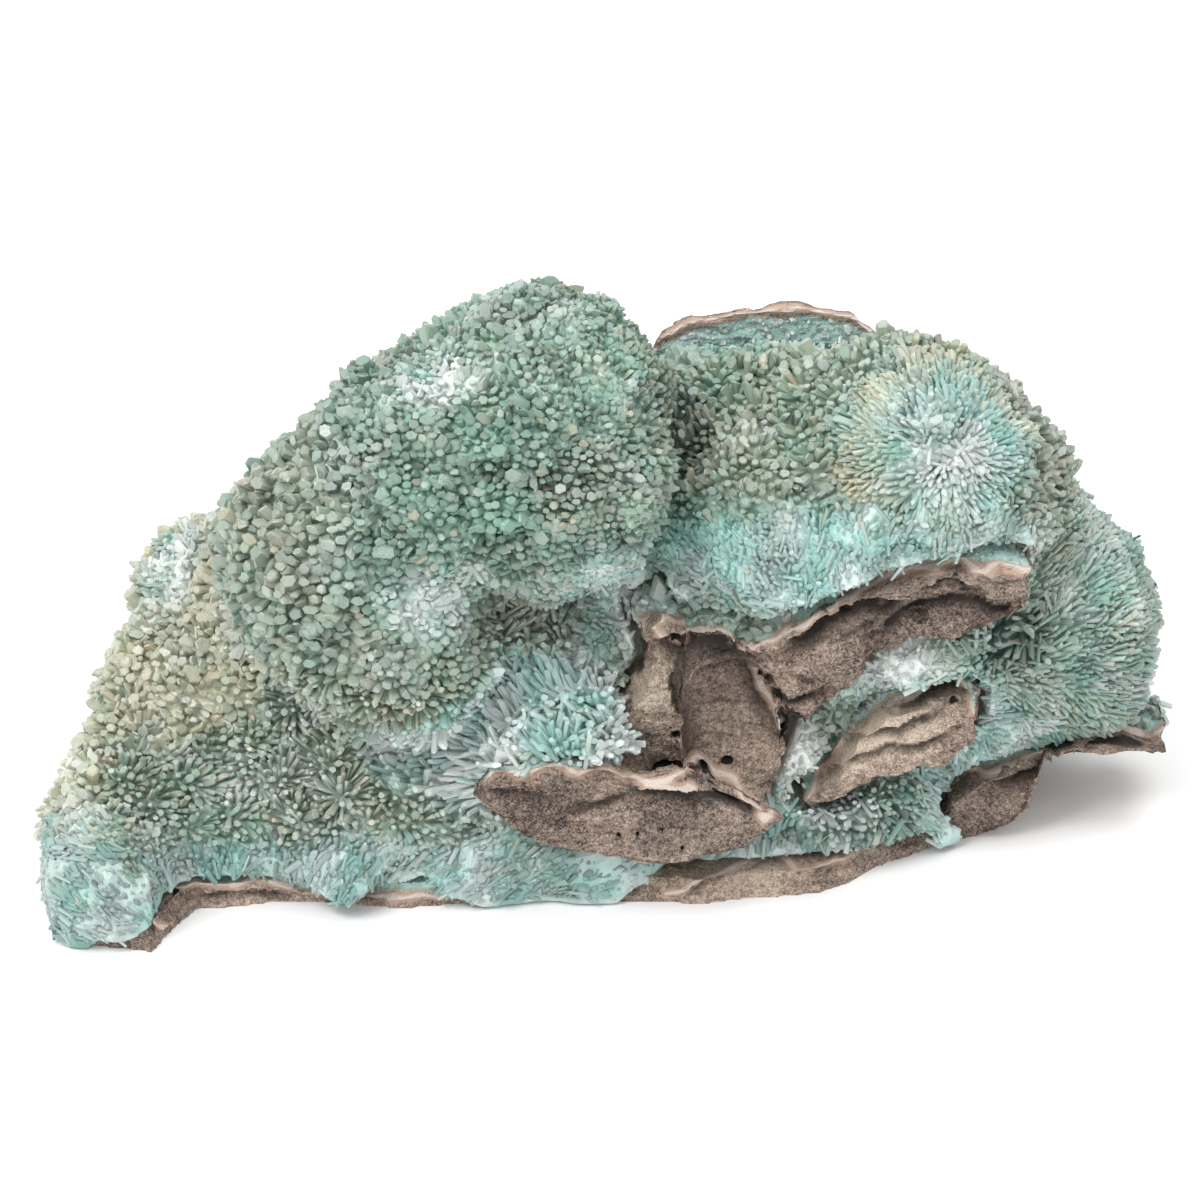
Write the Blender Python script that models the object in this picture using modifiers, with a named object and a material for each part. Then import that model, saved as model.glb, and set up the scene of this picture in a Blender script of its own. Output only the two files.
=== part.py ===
"""A hand specimen of blue-green aragonite on sandstone, +Z up, metres.

The aragonite grew as one crust of domes, each a ball of crystals that point away from its middle.
The crust stands on a plate of layered sandstone, leans on a second plate behind, and holds two broken
ribs of the same sandstone in its front. The origin is the middle of the box, on the resting plane.
Sizes and places in the tables are millimetres.
"""

import math
import random

import bmesh
import bpy
from mathutils import Matrix, Vector

MM = 0.001
SEED = 7
# Space between the crust and the stone, and the wider space under the front of the crust.
GAP = 0.4
FRONT_GAP = 0.8
# Half size of the ground that is cut away, well beyond the specimen.
FAR = 200.0

# Middle of the specimen's box on the resting plane, taken off every place at the end.
BOX_CENTRE = (1.0, 1.5)

# Balls of crystals: middle x, y, z and the radius out to the crystal tips.
DOMES = {
    "crown": (-11, 4, 84, 26),
    "crown_front": (-8, -6, 75, 24),
    "crown_back": (-18, 20, 72, 24),
    "shoulder": (-29, -2, 73, 27),
    "flank": (-48, -8, 60, 24),
    "belly": (-36, -14, 47, 21),
    "flank_back": (-50, 16, 50, 23),
    "left_back": (-73, 22, 34, 18),
    "left": (-78, 6, 23, 19),
    "left_front": (-87, -12, 14, 16),
    "saddle": (32, 22, 72, 18),
    "saddle_left": (16, 21, 71, 17),
    "saddle_front": (27, 4, 64, 20),
    "right_crown": (55, 10, 71, 25),
    "right_flank": (65, 15, 62, 24),
    "right": (82, 16, 34, 21),
    "fan": (-8, -16, 25, 19),
    "fan_top": (9, -3, 44, 15),
}

# Broken crust that carries the domes: middle x, y, z and half sizes.
MASSES = {
    "left_mass": (-34, 12, 32, 46, 28, 36),
    "middle_mass": (16, 16, 32, 40, 26, 34),
    "right_mass": (56, 14, 32, 44, 25, 34),
    "right_end": (86, 14, 32, 18, 20, 26),
    "back_mass": (28, 30, 44, 36, 13, 38),
    "back_right": (62, 26, 42, 26, 16, 34),
    "front_apron": (-52, -12, 8, 44, 20, 18),
    "left_tip": (-89, -29, 8, 12, 16, 14),
    "middle_apron": (22, -6, 2, 48, 19, 16),
    "ledge_band": (44, -1, 57, 36, 16, 13),
}
# Foot of the broken crust along the front left: plan, lowest and highest z.
FOOT_PLAN = [
    (-100, -40), (-95, -44), (-84, -44), (-75, -29), (-60, -26), (-36, -27), (-8, -24), (14, -24),
    (22, -10), (-20, 2), (-88, 2), (-99, -20),
]
FOOT_HEIGHTS = (-3.0, 14.0)

# The crust's skin: grid that melts its parts together, smoothing, and how many crystals it has.
CRUST_VOXEL = 3.0
CRUST_SMOOTHING = 4
CELLS = 470
# Crystals: nominal length, shortest and longest on a dome and on broken crust, how wide a tip is for
# its root, how much tips lean, and how far past a dome's skin a crystal still counts as the dome's.
CRYSTAL_LENGTH = 5.0
DOME_LENGTHS = (3.0, 5.2)
BROKEN_LENGTHS = (1.0, 2.2)
DOME_TIPS = (0.78, 0.9)
BROKEN_TIPS = (0.7, 0.85)
TIP_LEAN = 0.22
DOME_MARGIN = 2.0
# In a fold crystals are shorter: their least share of the length, and how fast they shorten.
FOLD_LEAST = 0.12
FOLD_SHORTENING = 2.4

# Plan of the resting plate, anticlockwise from its near left corner.
PLATE_PLAN = [
    (-91, -43), (-80, -45), (-73, -31), (-52, -29), (-36, -31), (-8, -28), (18, -30), (40, -26),
    (57, -14), (77, -3), (84, 12), (81, 32), (62, 45), (22, 49), (-28, 47), (-66, 41), (-84, 24),
    (-88, -2), (-90, -26),
]
PLATE_LAYERS = (0.0, 2.4, 5.0)
CRUST_FLOOR = 0.6

# Ledge that overhangs the right end, in x and z.
END_LEDGE = [
    (68, 2), (76, 8), (83, 14), (90, 16), (97, 15), (102, 13), (107, 16), (106, 10), (98, 8),
    (90, 7), (84, 3), (74, 2),
]
END_LEDGE_NEAR_FAR = (-4, 20)
# Thicker stone below it, in x and z.
END_FOOT = [(62, 1), (64, 9), (70, 14), (78, 15), (86, 13), (84, 7), (80, 2), (72, 1)]
END_FOOT_NEAR_FAR = (-9, 6)

# Plate behind the crust, in x and z, and the planes between its layers, front to back.
BACK_OUTLINE = [
    (-28, 6.3), (-34, 16), (-22, 30), (-14, 44), (2, 54), (8, 70), (11, 81), (18, 84.5), (27, 86),
    (37, 87), (47, 85), (53, 80), (58, 66), (66, 56), (70, 40), (80, 30), (76, 16), (66, 6.3),
]
BACK_LAYERS = (40.0, 43.5, 47.4)
# Last layers of the back plate, broken off lower down, in x and z.
BACK_STEP = [
    (-18, 9), (-16, 20), (-6, 27), (4, 36), (14, 41), (22, 52), (34, 55), (40, 47), (52, 42),
    (56, 30), (66, 24), (62, 12), (50, 8), (24, 10), (6, 7),
]
BACK_STEP_NEAR_FAR = (46.5, 49.6)
BACK_PITS = [(30, 47.5, 68, 2.6), (12, 47.5, 60, 1.8), (38, 50, 30, 3.0), (8, 50, 20, 2.2)]

# Front rib: outlines in x and z, each with its near and far face in y.
UPPER_LEDGE = [
    (5, 49), (11, 55), (17, 50), (26, 48), (31, 49), (36, 52), (41, 55), (46, 58), (53, 60),
    (60, 62), (68, 62), (78, 60), (77, 55), (69, 50), (62, 48), (55, 47), (50, 44), (46, 38),
    (41, 34), (38, 29), (32, 32), (30, 38), (26, 44), (20, 46), (12, 47),
]
UPPER_LEDGE_NEAR_FAR = (-18, -2)
LEFT_WING = [(5, 51), (12, 51), (17, 45), (17, 22), (8, 20), (2, 26), (2, 31), (7, 38), (8, 44)]
LEFT_WING_NEAR_FAR = (-17, -4)
SCOOP_WALL = [
    (13, 47), (18, 51), (25, 50), (29, 44), (33, 34), (35, 26), (33, 19), (25, 16), (14, 19),
    (13, 35),
]
SCOOP_WALL_NEAR_FAR = (-20, -3)
FRONT_SHELF = [
    (-23, 24), (-20, 29), (-12, 30), (-4, 30), (7, 27.5), (13, 28.5), (20, 26), (26, 23),
    (33, 18), (27, 13), (16, 9.5), (7, 9), (-4, 12), (-14, 15), (-18, 19),
]
FRONT_SHELF_NEAR_FAR = (-33, -26)
SHELF_BACK = [(-18, 18.5), (-17, 26), (-4, 28), (9, 26), (10, 14.5), (-4, 14.5)]
SHELF_BACK_NEAR_FAR = (-28.3, -11.5)
SCOOP_FLOOR = [(11, 12.5), (12, 19.5), (20, 20.5), (31, 19.5), (31.5, 17), (26, 14.5), (16, 12)]
SCOOP_FLOOR_NEAR_FAR = (-28.7, -8.5)
# Hollow of the scoop: middle x, y, z and half sizes.
SCOOP = (24, -26, 33, 11.5, 16, 14.5)
PITS = [(14.5, -20, 31, 1.3), (37, -18.5, 40, 1.5), (57, -18.5, 53, 1.5)]

MIDDLE_RIB = [
    (35, 14), (42, 18), (46, 27), (51, 32), (58, 34), (65, 36), (70, 33), (69, 25), (64, 20),
    (55, 18), (46, 13), (38, 10),
]
MIDDLE_RIB_NEAR_FAR = (-16, 0)

# Plan of the room under the crust's front, where nothing hangs down before the plate.
FRONT_ROOM = [(-74, -60), (62, -60), (62, -13), (40, -22), (-74, -26)]

# Broken edges of stone: distance between their points, and how far a point is pushed in or out.
BROKEN_STEP = 7.0
BROKEN_AMOUNT = 0.9
# Each layer of a rib reaches this much less far than the one behind it, and runs into that one.
LAYER_STEP = 1.2
LAYER_OVERLAP = 0.3
# How deep a pit is for its radius, and how far a mitred corner may reach (least cosine).
PIT_DEPTH = 1.6
SHARPEST_MITRE = 0.4


def clear_scene():
    """Empties the scene of every object."""
    for obj in list(bpy.data.objects):
        bpy.data.objects.remove(obj)


def new_collection(name):
    """A collection in the scene."""
    made = bpy.data.collections.new(name)
    bpy.context.scene.collection.children.link(made)
    return made


def stone_material(name, colour, roughness):
    """A plain material with the piece's own colour."""
    made = bpy.data.materials.new(name)
    made.use_nodes = True
    shader = made.node_tree.nodes["Principled BSDF"]
    shader.inputs["Base Color"].default_value = (*colour, 1.0)
    shader.inputs["Roughness"].default_value = roughness
    shader.inputs["Metallic"].default_value = 0.0
    return made


def object_from(bm, name, collection):
    """Turns a bmesh into an object in a collection."""
    mesh = bpy.data.meshes.new(name)
    bm.to_mesh(mesh)
    bm.free()
    made = bpy.data.objects.new(name, mesh)
    collection.objects.link(made)
    return made


def baked(obj, collection):
    """Replaces obj by a mesh object with its modifiers done and its place in its mesh."""
    bpy.context.view_layer.update()
    graph = bpy.context.evaluated_depsgraph_get()
    mesh = bpy.data.meshes.new_from_object(obj.evaluated_get(graph))
    mesh.transform(obj.matrix_world)
    name = obj.name
    bpy.data.objects.remove(obj)
    mesh.name = name
    made = bpy.data.objects.new(name, mesh)
    collection.objects.link(made)
    return made


def combined(target, other, operation, collection, solver="EXACT"):
    """Target joined with, or cut by, another mesh object, which is removed."""
    step = target.modifiers.new(operation.lower(), "BOOLEAN")
    step.object = other
    step.operation = operation
    step.solver = solver
    made = baked(target, collection)
    bpy.data.objects.remove(other)
    return made


def signed_area(outline):
    """Area of a closed outline, positive where it runs anticlockwise."""
    pairs = zip(outline, outline[1:] + outline[:1])
    return sum(x0 * y1 - x1 * y0 for (x0, y0), (x1, y1) in pairs) / 2


def broken_edge(outline, rng, amount=BROKEN_AMOUNT):
    """The outline with points between its corners, each pushed in or out as broken stone is."""
    points = []
    for (x0, y0), (x1, y1) in zip(outline, outline[1:] + outline[:1]):
        length = math.hypot(x1 - x0, y1 - y0)
        parts = max(1, round(length / BROKEN_STEP))
        for i in range(parts):
            along = i / parts
            push = rng.uniform(-amount, amount) if i else 0.0
            x = x0 + (x1 - x0) * along + (y1 - y0) / length * push
            y = y0 + (y1 - y0) * along - (x1 - x0) / length * push
            points.append((x, y))
    return points


def widened(outline, gap):
    """The outline moved outward by gap, with mitred corners. A negative gap moves it inward."""
    side = math.copysign(gap, signed_area(outline))
    count = len(outline)
    points = []
    for i, (x, y) in enumerate(outline):
        before = Vector(outline[i]) - Vector(outline[i - 1])
        after = Vector(outline[(i + 1) % count]) - Vector(outline[i])
        out_before = Vector((before.y, -before.x)).normalized()
        out_after = Vector((after.y, -after.x)).normalized()
        mitre = (out_before + out_after).normalized()
        reach = side / max(SHARPEST_MITRE, mitre.dot(out_after)) * abs(gap) / gap
        points.append((x + mitre.x * reach, y + mitre.y * reach))
    return points


def slab(name, outline, near, far, collection, upright=True):
    """A plate. Upright, its outline is in X and Z and it runs along Y. Lying, it runs up Z."""
    curve = bpy.data.curves.new(name, "CURVE")
    curve.dimensions = "2D"
    curve.fill_mode = "BOTH"
    curve.extrude = (far - near) / 2 * MM
    spline = curve.splines.new("POLY")
    spline.points.add(len(outline) - 1)
    for point, (x, y) in zip(spline.points, outline):
        point.co = (x * MM, y * MM, 0.0, 1.0)
    spline.use_cyclic_u = True
    obj = bpy.data.objects.new(name, curve)
    collection.objects.link(obj)
    middle = (near + far) / 2 * MM
    if upright:
        obj.rotation_euler = (math.pi / 2, 0.0, 0.0)
        obj.location = (0.0, middle, 0.0)
    else:
        obj.location = (0.0, 0.0, middle)
    made = baked(obj, collection)
    bm = bmesh.new()
    bm.from_mesh(made.data)
    bmesh.ops.remove_doubles(bm, verts=bm.verts, dist=0.01 * MM)
    bmesh.ops.recalc_face_normals(bm, faces=bm.faces)
    bm.to_mesh(made.data)
    bm.free()
    return made


def add_ball(bm, x, y, z, half_sizes, subdivisions=3):
    """Adds an ellipsoid to a bmesh."""
    place = Matrix.Translation(Vector((x, y, z)) * MM)
    size = Matrix.Diagonal((*(half * MM for half in half_sizes), 1.0))
    bmesh.ops.create_icosphere(bm, subdivisions=subdivisions, radius=1.0, matrix=place @ size)


def ball(name, x, y, z, half_sizes, collection, subdivisions=2):
    """An ellipsoid object."""
    bm = bmesh.new()
    add_ball(bm, x, y, z, half_sizes, subdivisions)
    return object_from(bm, name, collection)


def layered(name, outline, planes, steps, collection, upright, rng):
    """Strata of stone on each other, each with its own broken edge, as one solid."""
    whole = None
    for low, high, step in zip(planes, planes[1:], steps):
        edge = broken_edge(widened(outline, step) if step else outline, rng)
        overlap = LAYER_OVERLAP if whole else 0.0
        layer = slab(name, edge, low - overlap, high, collection, upright)
        whole = combined(whole, layer, "UNION", collection) if whole else layer
    whole.name = name
    return whole


def rib(name, outline, near_far, collection, rng):
    """An upright rib of stone in two layers, the front one a little smaller than the back one."""
    near, far = near_far
    planes = (near, (near + far) / 2, far)
    return layered(name, outline, planes, (-LAYER_STEP, 0.0), collection, True, rng)


def pitted(stone, pits, collection):
    """Small holes in the stone, each from its middle x, y, z and its radius."""
    for x, y, z, radius in pits:
        pit = ball("pit", x, y, z, (radius, radius * PIT_DEPTH, radius), collection, 1)
        stone = combined(stone, pit, "DIFFERENCE", collection, "MANIFOLD")
    return stone


def matrix_base(collection, rng):
    """The resting plate, with the ledge that overhangs its right end."""
    plate = layered(
        "matrix_base", PLATE_PLAN, PLATE_LAYERS, (0.0, -1.5), collection, False, rng)
    ledge = rib("end_ledge", END_LEDGE, END_LEDGE_NEAR_FAR, collection, rng)
    foot = rib("end_foot", END_FOOT, END_FOOT_NEAR_FAR, collection, rng)
    plate = combined(plate, foot, "UNION", collection)
    return combined(plate, ledge, "UNION", collection)


def matrix_back(collection, rng):
    """The plate behind the crust."""
    plate = layered(
        "matrix_back", BACK_OUTLINE, BACK_LAYERS, (0.0, -3.5), collection, True, rng)
    edge = broken_edge(BACK_STEP, rng)
    step = slab("back_step", edge, *BACK_STEP_NEAR_FAR, collection)
    plate = combined(plate, step, "UNION", collection)
    return pitted(plate, BACK_PITS, collection)


def matrix_front_rib(collection, rng):
    """The rib in the middle of the front: ledge, wing, scooped wall and shelf."""
    whole = rib("matrix_front_rib", SCOOP_WALL, SCOOP_WALL_NEAR_FAR, collection, rng)
    for name, outline, near_far in (
        ("upper_ledge", UPPER_LEDGE, UPPER_LEDGE_NEAR_FAR),
        ("left_wing", LEFT_WING, LEFT_WING_NEAR_FAR),
        ("scoop_floor", SCOOP_FLOOR, SCOOP_FLOOR_NEAR_FAR),
    ):
        piece = rib(name, outline, near_far, collection, rng)
        whole = combined(whole, piece, "UNION", collection)
    hollow = ball("scoop", *SCOOP[:3], SCOOP[3:], collection)
    whole = combined(whole, hollow, "DIFFERENCE", collection)
    for name, outline, near_far in (
        ("front_shelf", FRONT_SHELF, FRONT_SHELF_NEAR_FAR),
        ("shelf_back", SHELF_BACK, SHELF_BACK_NEAR_FAR),
    ):
        piece = rib(name, outline, near_far, collection, rng)
        whole = combined(whole, piece, "UNION", collection)
    return pitted(whole, PITS, collection)


def matrix_middle_rib(collection, rng):
    """The shorter rib to the right of the scoop."""
    return rib("matrix_middle_rib", MIDDLE_RIB, MIDDLE_RIB_NEAR_FAR, collection, rng)


def crust_body(collection):
    """The domes and what carries them, melted into one skin."""
    bm = bmesh.new()
    for x, y, z, radius in DOMES.values():
        core = radius - CRYSTAL_LENGTH
        add_ball(bm, x, y, z, (core, core, core))
    for x, y, z, *half_sizes in MASSES.values():
        add_ball(bm, x, y, z, half_sizes)
    foot = slab("foot", FOOT_PLAN, *FOOT_HEIGHTS, collection, upright=False)
    bm.from_mesh(foot.data)
    bpy.data.objects.remove(foot)
    body = object_from(bm, "aragonite_crust", collection)
    skin = body.modifiers.new("skin", "REMESH")
    skin.mode = "VOXEL"
    skin.voxel_size = CRUST_VOXEL * MM
    smooth = body.modifiers.new("smooth", "SMOOTH")
    smooth.factor = 0.5
    smooth.iterations = CRUST_SMOOTHING
    body = baked(body, collection)
    body.modifiers.new("triangles", "TRIANGULATE")
    fewer = body.modifiers.new("fewer", "DECIMATE")
    fewer.ratio = CELLS / len(body.data.vertices)
    cells = body.modifiers.new("cells", "NODES")
    cells.node_group = cell_maker()
    return baked(body, collection)


def cell_maker():
    """A node group that turns each vertex of a triangle mesh into a cell of five to seven sides."""
    group = bpy.data.node_groups.new("cells", "GeometryNodeTree")
    group.interface.new_socket("Geometry", in_out="INPUT", socket_type="NodeSocketGeometry")
    group.interface.new_socket("Geometry", in_out="OUTPUT", socket_type="NodeSocketGeometry")
    start = group.nodes.new("NodeGroupInput")
    dual = group.nodes.new("GeometryNodeDualMesh")
    end = group.nodes.new("NodeGroupOutput")
    group.links.new(start.outputs[0], dual.inputs[0])
    group.links.new(dual.outputs[0], end.inputs[0])
    return group


def on_dome(place):
    """True where a point of the skin belongs to a dome and not to broken crust."""
    for x, y, z, radius in DOMES.values():
        if (place / MM - Vector((x, y, z))).length < radius - CRYSTAL_LENGTH + DOME_MARGIN:
            return True
    return False


def crease(cell):
    """How far the cells around this one rise above it: 0 on an open dome, near 1 in a deep fold."""
    middle = cell.calc_center_median()
    deepest = 0.0
    for edge in cell.edges:
        for other in edge.link_faces:
            if other is not cell:
                way = other.calc_center_median() - middle
                deepest = max(deepest, way.normalized().dot(cell.normal))
    return deepest


def grow_crystals(body, rng):
    """Raises every cell of the skin into the flat end of a crystal."""
    bm = bmesh.new()
    bm.from_mesh(body.data)
    bm.normal_update()
    fold = bm.faces.layers.float.new("fold")
    for cell in bm.faces:
        cell[fold] = crease(cell)
    tips = bmesh.ops.extrude_discrete_faces(bm, faces=list(bm.faces))["faces"]
    for tip in tips:
        middle = tip.calc_center_median()
        normal = tip.normal.copy()
        room = max(FOLD_LEAST, 1.0 - FOLD_SHORTENING * tip[fold])
        dome = on_dome(middle)
        height = rng.uniform(*(DOME_LENGTHS if dome else BROKEN_LENGTHS))
        spread = rng.uniform(*(DOME_TIPS if dome else BROKEN_TIPS))
        lean = Vector([rng.uniform(-1, 1) for _ in range(3)]) * TIP_LEAN * room
        for vert in tip.verts:
            flat = vert.co - middle
            flat -= normal * flat.dot(normal)
            rise = height * MM * room + flat.dot(lean)
            vert.co = middle + flat * spread + normal * rise
    bm.faces.layers.float.remove(fold)
    bm.to_mesh(body.data)
    bm.free()


def largest_piece(obj):
    """Drops everything but the biggest connected piece, and makes triangles."""
    bm = bmesh.new()
    bm.from_mesh(obj.data)
    left = set(bm.verts)
    pieces = []
    while left:
        edge_of_piece = [left.pop()]
        piece = set(edge_of_piece)
        while edge_of_piece:
            vert = edge_of_piece.pop()
            for edge in vert.link_edges:
                other = edge.other_vert(vert)
                if other not in piece:
                    piece.add(other)
                    left.discard(other)
                    edge_of_piece.append(other)
        pieces.append(piece)
    pieces.sort(key=len)
    for piece in pieces[:-1]:
        bmesh.ops.delete(bm, geom=list(piece), context="VERTS")
    bmesh.ops.triangulate(bm, faces=bm.faces)
    bm.to_mesh(obj.data)
    bm.free()


def crust_room(collection):
    """Room in the crust for the stone, a gap wider all round, and the ground."""
    ground = [(-FAR, -FAR), (FAR, -FAR), (FAR, FAR), (-FAR, FAR)]
    plate = widened(PLATE_PLAN, BROKEN_AMOUNT + GAP)
    room = slab("room", ground, -FAR, CRUST_FLOOR, collection, upright=False)
    plate_room = slab("cut_plate", plate, 0, PLATE_LAYERS[-1] + GAP, collection, upright=False)
    room = combined(room, plate_room, "UNION", collection)
    front_top = PLATE_LAYERS[-1] + FRONT_GAP
    front_room = slab("cut_front", FRONT_ROOM, 0, front_top, collection, upright=False)
    room = combined(room, front_room, "UNION", collection)
    for name, outline, near_far in (
        ("cut_end_ledge", END_LEDGE, END_LEDGE_NEAR_FAR),
        ("cut_end_foot", END_FOOT, END_FOOT_NEAR_FAR),
        ("cut_scoop_wall", SCOOP_WALL, SCOOP_WALL_NEAR_FAR),
        ("cut_upper_ledge", UPPER_LEDGE, UPPER_LEDGE_NEAR_FAR),
        ("cut_left_wing", LEFT_WING, LEFT_WING_NEAR_FAR),
        ("cut_front_shelf", FRONT_SHELF, FRONT_SHELF_NEAR_FAR),
        ("cut_shelf_back", SHELF_BACK, SHELF_BACK_NEAR_FAR),
        ("cut_scoop_floor", SCOOP_FLOOR, SCOOP_FLOOR_NEAR_FAR),
        ("cut_middle_rib", MIDDLE_RIB, MIDDLE_RIB_NEAR_FAR),
        ("cut_back", BACK_OUTLINE, (BACK_LAYERS[0], BACK_LAYERS[-1])),
    ):
        near, far = near_far
        wide = widened(outline, BROKEN_AMOUNT + GAP)
        piece_room = slab(name, wide, near - GAP, far + GAP, collection)
        room = combined(room, piece_room, "UNION", collection)
    return room


def main():
    """Builds the specimen."""
    clear_scene()
    parts = new_collection("blue_aragonite")
    work = new_collection("aragonite_cutters")
    rngs = [random.Random(SEED + i) for i in range(5)]
    base = matrix_base(parts, rngs[0])
    back = matrix_back(parts, rngs[1])
    front = matrix_front_rib(parts, rngs[2])
    middle = matrix_middle_rib(parts, rngs[3])
    crust = crust_body(parts)
    grow_crystals(crust, rngs[4])
    crust = combined(crust, crust_room(work), "DIFFERENCE", parts, "MANIFOLD")
    sandstone = stone_material("sandstone", (0.25, 0.19, 0.15), 0.9)
    aragonite = stone_material("aragonite", (0.33, 0.5, 0.43), 0.35)
    shift = Matrix.Translation(Vector((-BOX_CENTRE[0], -BOX_CENTRE[1], 0.0)) * MM)
    for obj in (base, back, front, middle, crust):
        largest_piece(obj)
        obj.data.transform(shift)
        obj.data.materials.clear()
        obj.data.materials.append(aragonite if obj is crust else sandstone)


main()
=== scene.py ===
"""Looks of a blue aragonite hand specimen: crystals, broken fibrous crust and layered sandstone.

Lengths in the tables are millimetres along the specimen's own axes: +X to its right, -Y to the
viewer, +Z up from the plane that it rests on.
"""

import math
from collections import namedtuple

import bmesh
import bpy
import numpy as np
from bpy.props import FloatProperty, FloatVectorProperty, PointerProperty
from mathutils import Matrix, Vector
from mathutils.bvhtree import BVHTree


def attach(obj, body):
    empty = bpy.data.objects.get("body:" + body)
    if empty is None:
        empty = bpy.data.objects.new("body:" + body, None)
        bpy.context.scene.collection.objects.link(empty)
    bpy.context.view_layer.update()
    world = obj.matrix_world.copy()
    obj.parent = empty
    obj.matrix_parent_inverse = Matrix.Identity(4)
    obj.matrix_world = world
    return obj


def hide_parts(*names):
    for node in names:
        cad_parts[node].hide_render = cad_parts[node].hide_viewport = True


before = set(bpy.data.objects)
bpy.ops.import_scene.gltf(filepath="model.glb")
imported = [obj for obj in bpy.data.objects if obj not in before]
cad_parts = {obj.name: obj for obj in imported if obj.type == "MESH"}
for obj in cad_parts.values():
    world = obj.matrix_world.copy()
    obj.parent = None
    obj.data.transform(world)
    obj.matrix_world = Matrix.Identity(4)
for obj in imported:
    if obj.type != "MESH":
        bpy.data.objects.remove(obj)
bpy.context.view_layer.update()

bl_info = {
    "name": "Blue aragonite specimen",
    "version": (1, 0, 0),
    "blender": (4, 5, 0),
    "location": "View3D > Sidebar > Aragonite",
    "description": "Grows aragonite crystals and layered sandstone over a specimen's solids",
    "category": "Object",
}

MM = 0.001
SEED = 11
# Millimetres from the middle of the box to the zero of the tables.
TABLE_ZERO = np.array([-1.0, -1.5, 0.0])
# Shares of height and depth in what is seen as up, from the front and 30 degrees above.
SEEN_HEIGHT, SEEN_DEPTH = 0.866, 0.5
# Stands for the height of a line where no line runs.
NO_LINE = 999.0
# Softening of the borders between stretches of crust: looks around, and how far in millimetres.
BLEND_STEPS, BLEND_REACH = 6, 2.6
# How far those borders wander, and over what length.
WANDER, WANDER_LENGTH = 2.6, 9.0
# Grids that wrap the crust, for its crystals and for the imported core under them.
GROWTH_GRID, CORE_GRID = 1.5 * MM, 1.1 * MM
# Places tried on the whole crust and on each stone, and the open room that a crystal needs.
CRUST_PLACES, STONE_PLACES = 220000, 30000
OPEN_ROOM = 2.0 * MM
# Depth of the middle of the back plate in the tables. Crust grows only on what lies before it.
BACK_MIDDLE = 43.5
# A habit that lies down more than this is fibrous.
FIBROUS = 0.4
# A crystal's sides, how uneven its corners are, the width of its root, how flat it is, and the slant,
# bevel and width of its end, the widths as shares of its own.
SIDES = 6
UNEVEN_CORNERS = 0.14
ROOT_WIDTH = 0.7
FLATNESS = (0.65, 1.0)
END_SLANT = (0.0, 0.8)
END_BEVEL = (0.05, 0.2)
END_WIDTH = (0.6, 0.9)
# How far up a crystal its bevelled shoulder counts, and how much streaks are drawn out along it.
SHOULDER_SHARE = 0.9
STREAK_LENGTHENING = 0.93
# How far upright crystals point away from their dome, and how far lying ones lift off the skin.
DOME_PULL = 0.6
LYING_LIFT = 0.12
# How crystals of one stretch differ: share of bold ones, spread of width, range of reach, lean away
# from their bunch's middle, width of the seams between bunches and loss of reach there, and spread
# of tone.
BOLD_SHARE = 0.03
WIDTH_SPREAD = 0.22
REACH_RANGE = (0.35, 1.1)
BUNCH_LEAN = 0.55
SEAM_WIDTH = 0.45
SEAM_LOSS = 0.55
TONE_SPREAD = 0.3
# Millimetres from the rosette's focus: its blue heart, the fade to its warm edge, its white middle.
ROSETTE_HEART, ROSETTE_EDGE, ROSETTE_WHITE = 12.0, 7.0, 9.0
# Millimetres within which crust grows paler beside the stone.
PALE_BESIDE_STONE = 1.8
# Thickness, tilt and waviness of the sandstone's layers, height and width of the lip along its rims,
# and the depth from which an undercut is painted in full black as shade.
LAYER, LAYER_TILT, LAYER_WAVES = 1.7, 0.12, 1.6
LIP_HEIGHT, LIP_WIDTH = 0.45, 0.55
BLACK_DEPTH = 2.2
# See-through share of the crystals, and refraction of aragonite and of quartz sand.
CRYSTAL_CLEAR = 0.35
ARAGONITE_IOR, SAND_IOR = 1.55, 1.45
# Lights: place and width in metres, and share of the key light's power. They point at LIT_HEIGHT.
LIGHTS = {"key": ((-0.45, -0.35, 0.75), 0.5, 1.0), "top": ((0.35, 0.15, 0.9), 0.6, 0.6)}
LIT_HEIGHT = 0.04
ROOM_LIGHT = 0.95
FLOOR_TONE = (0.92, 0.92, 0.92)
FLOOR_WIDTH = 3.0

# Middles and radii of the domes that the crystals point away from.
DOMES = np.array([
    (-11, 4, 84, 26), (-8, -6, 75, 24), (-18, 20, 72, 24), (-29, -2, 73, 27), (-48, -8, 60, 24),
    (-36, -14, 47, 21), (-50, 16, 50, 23), (-73, 22, 34, 18), (-78, 6, 23, 19), (-87, -12, 14, 16),
    (32, 22, 72, 18), (16, 21, 71, 17), (27, 4, 64, 20), (55, 10, 71, 25), (65, 15, 62, 24),
    (82, 16, 34, 21), (-8, -16, 25, 19), (9, -3, 44, 15),
], dtype=float)
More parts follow.
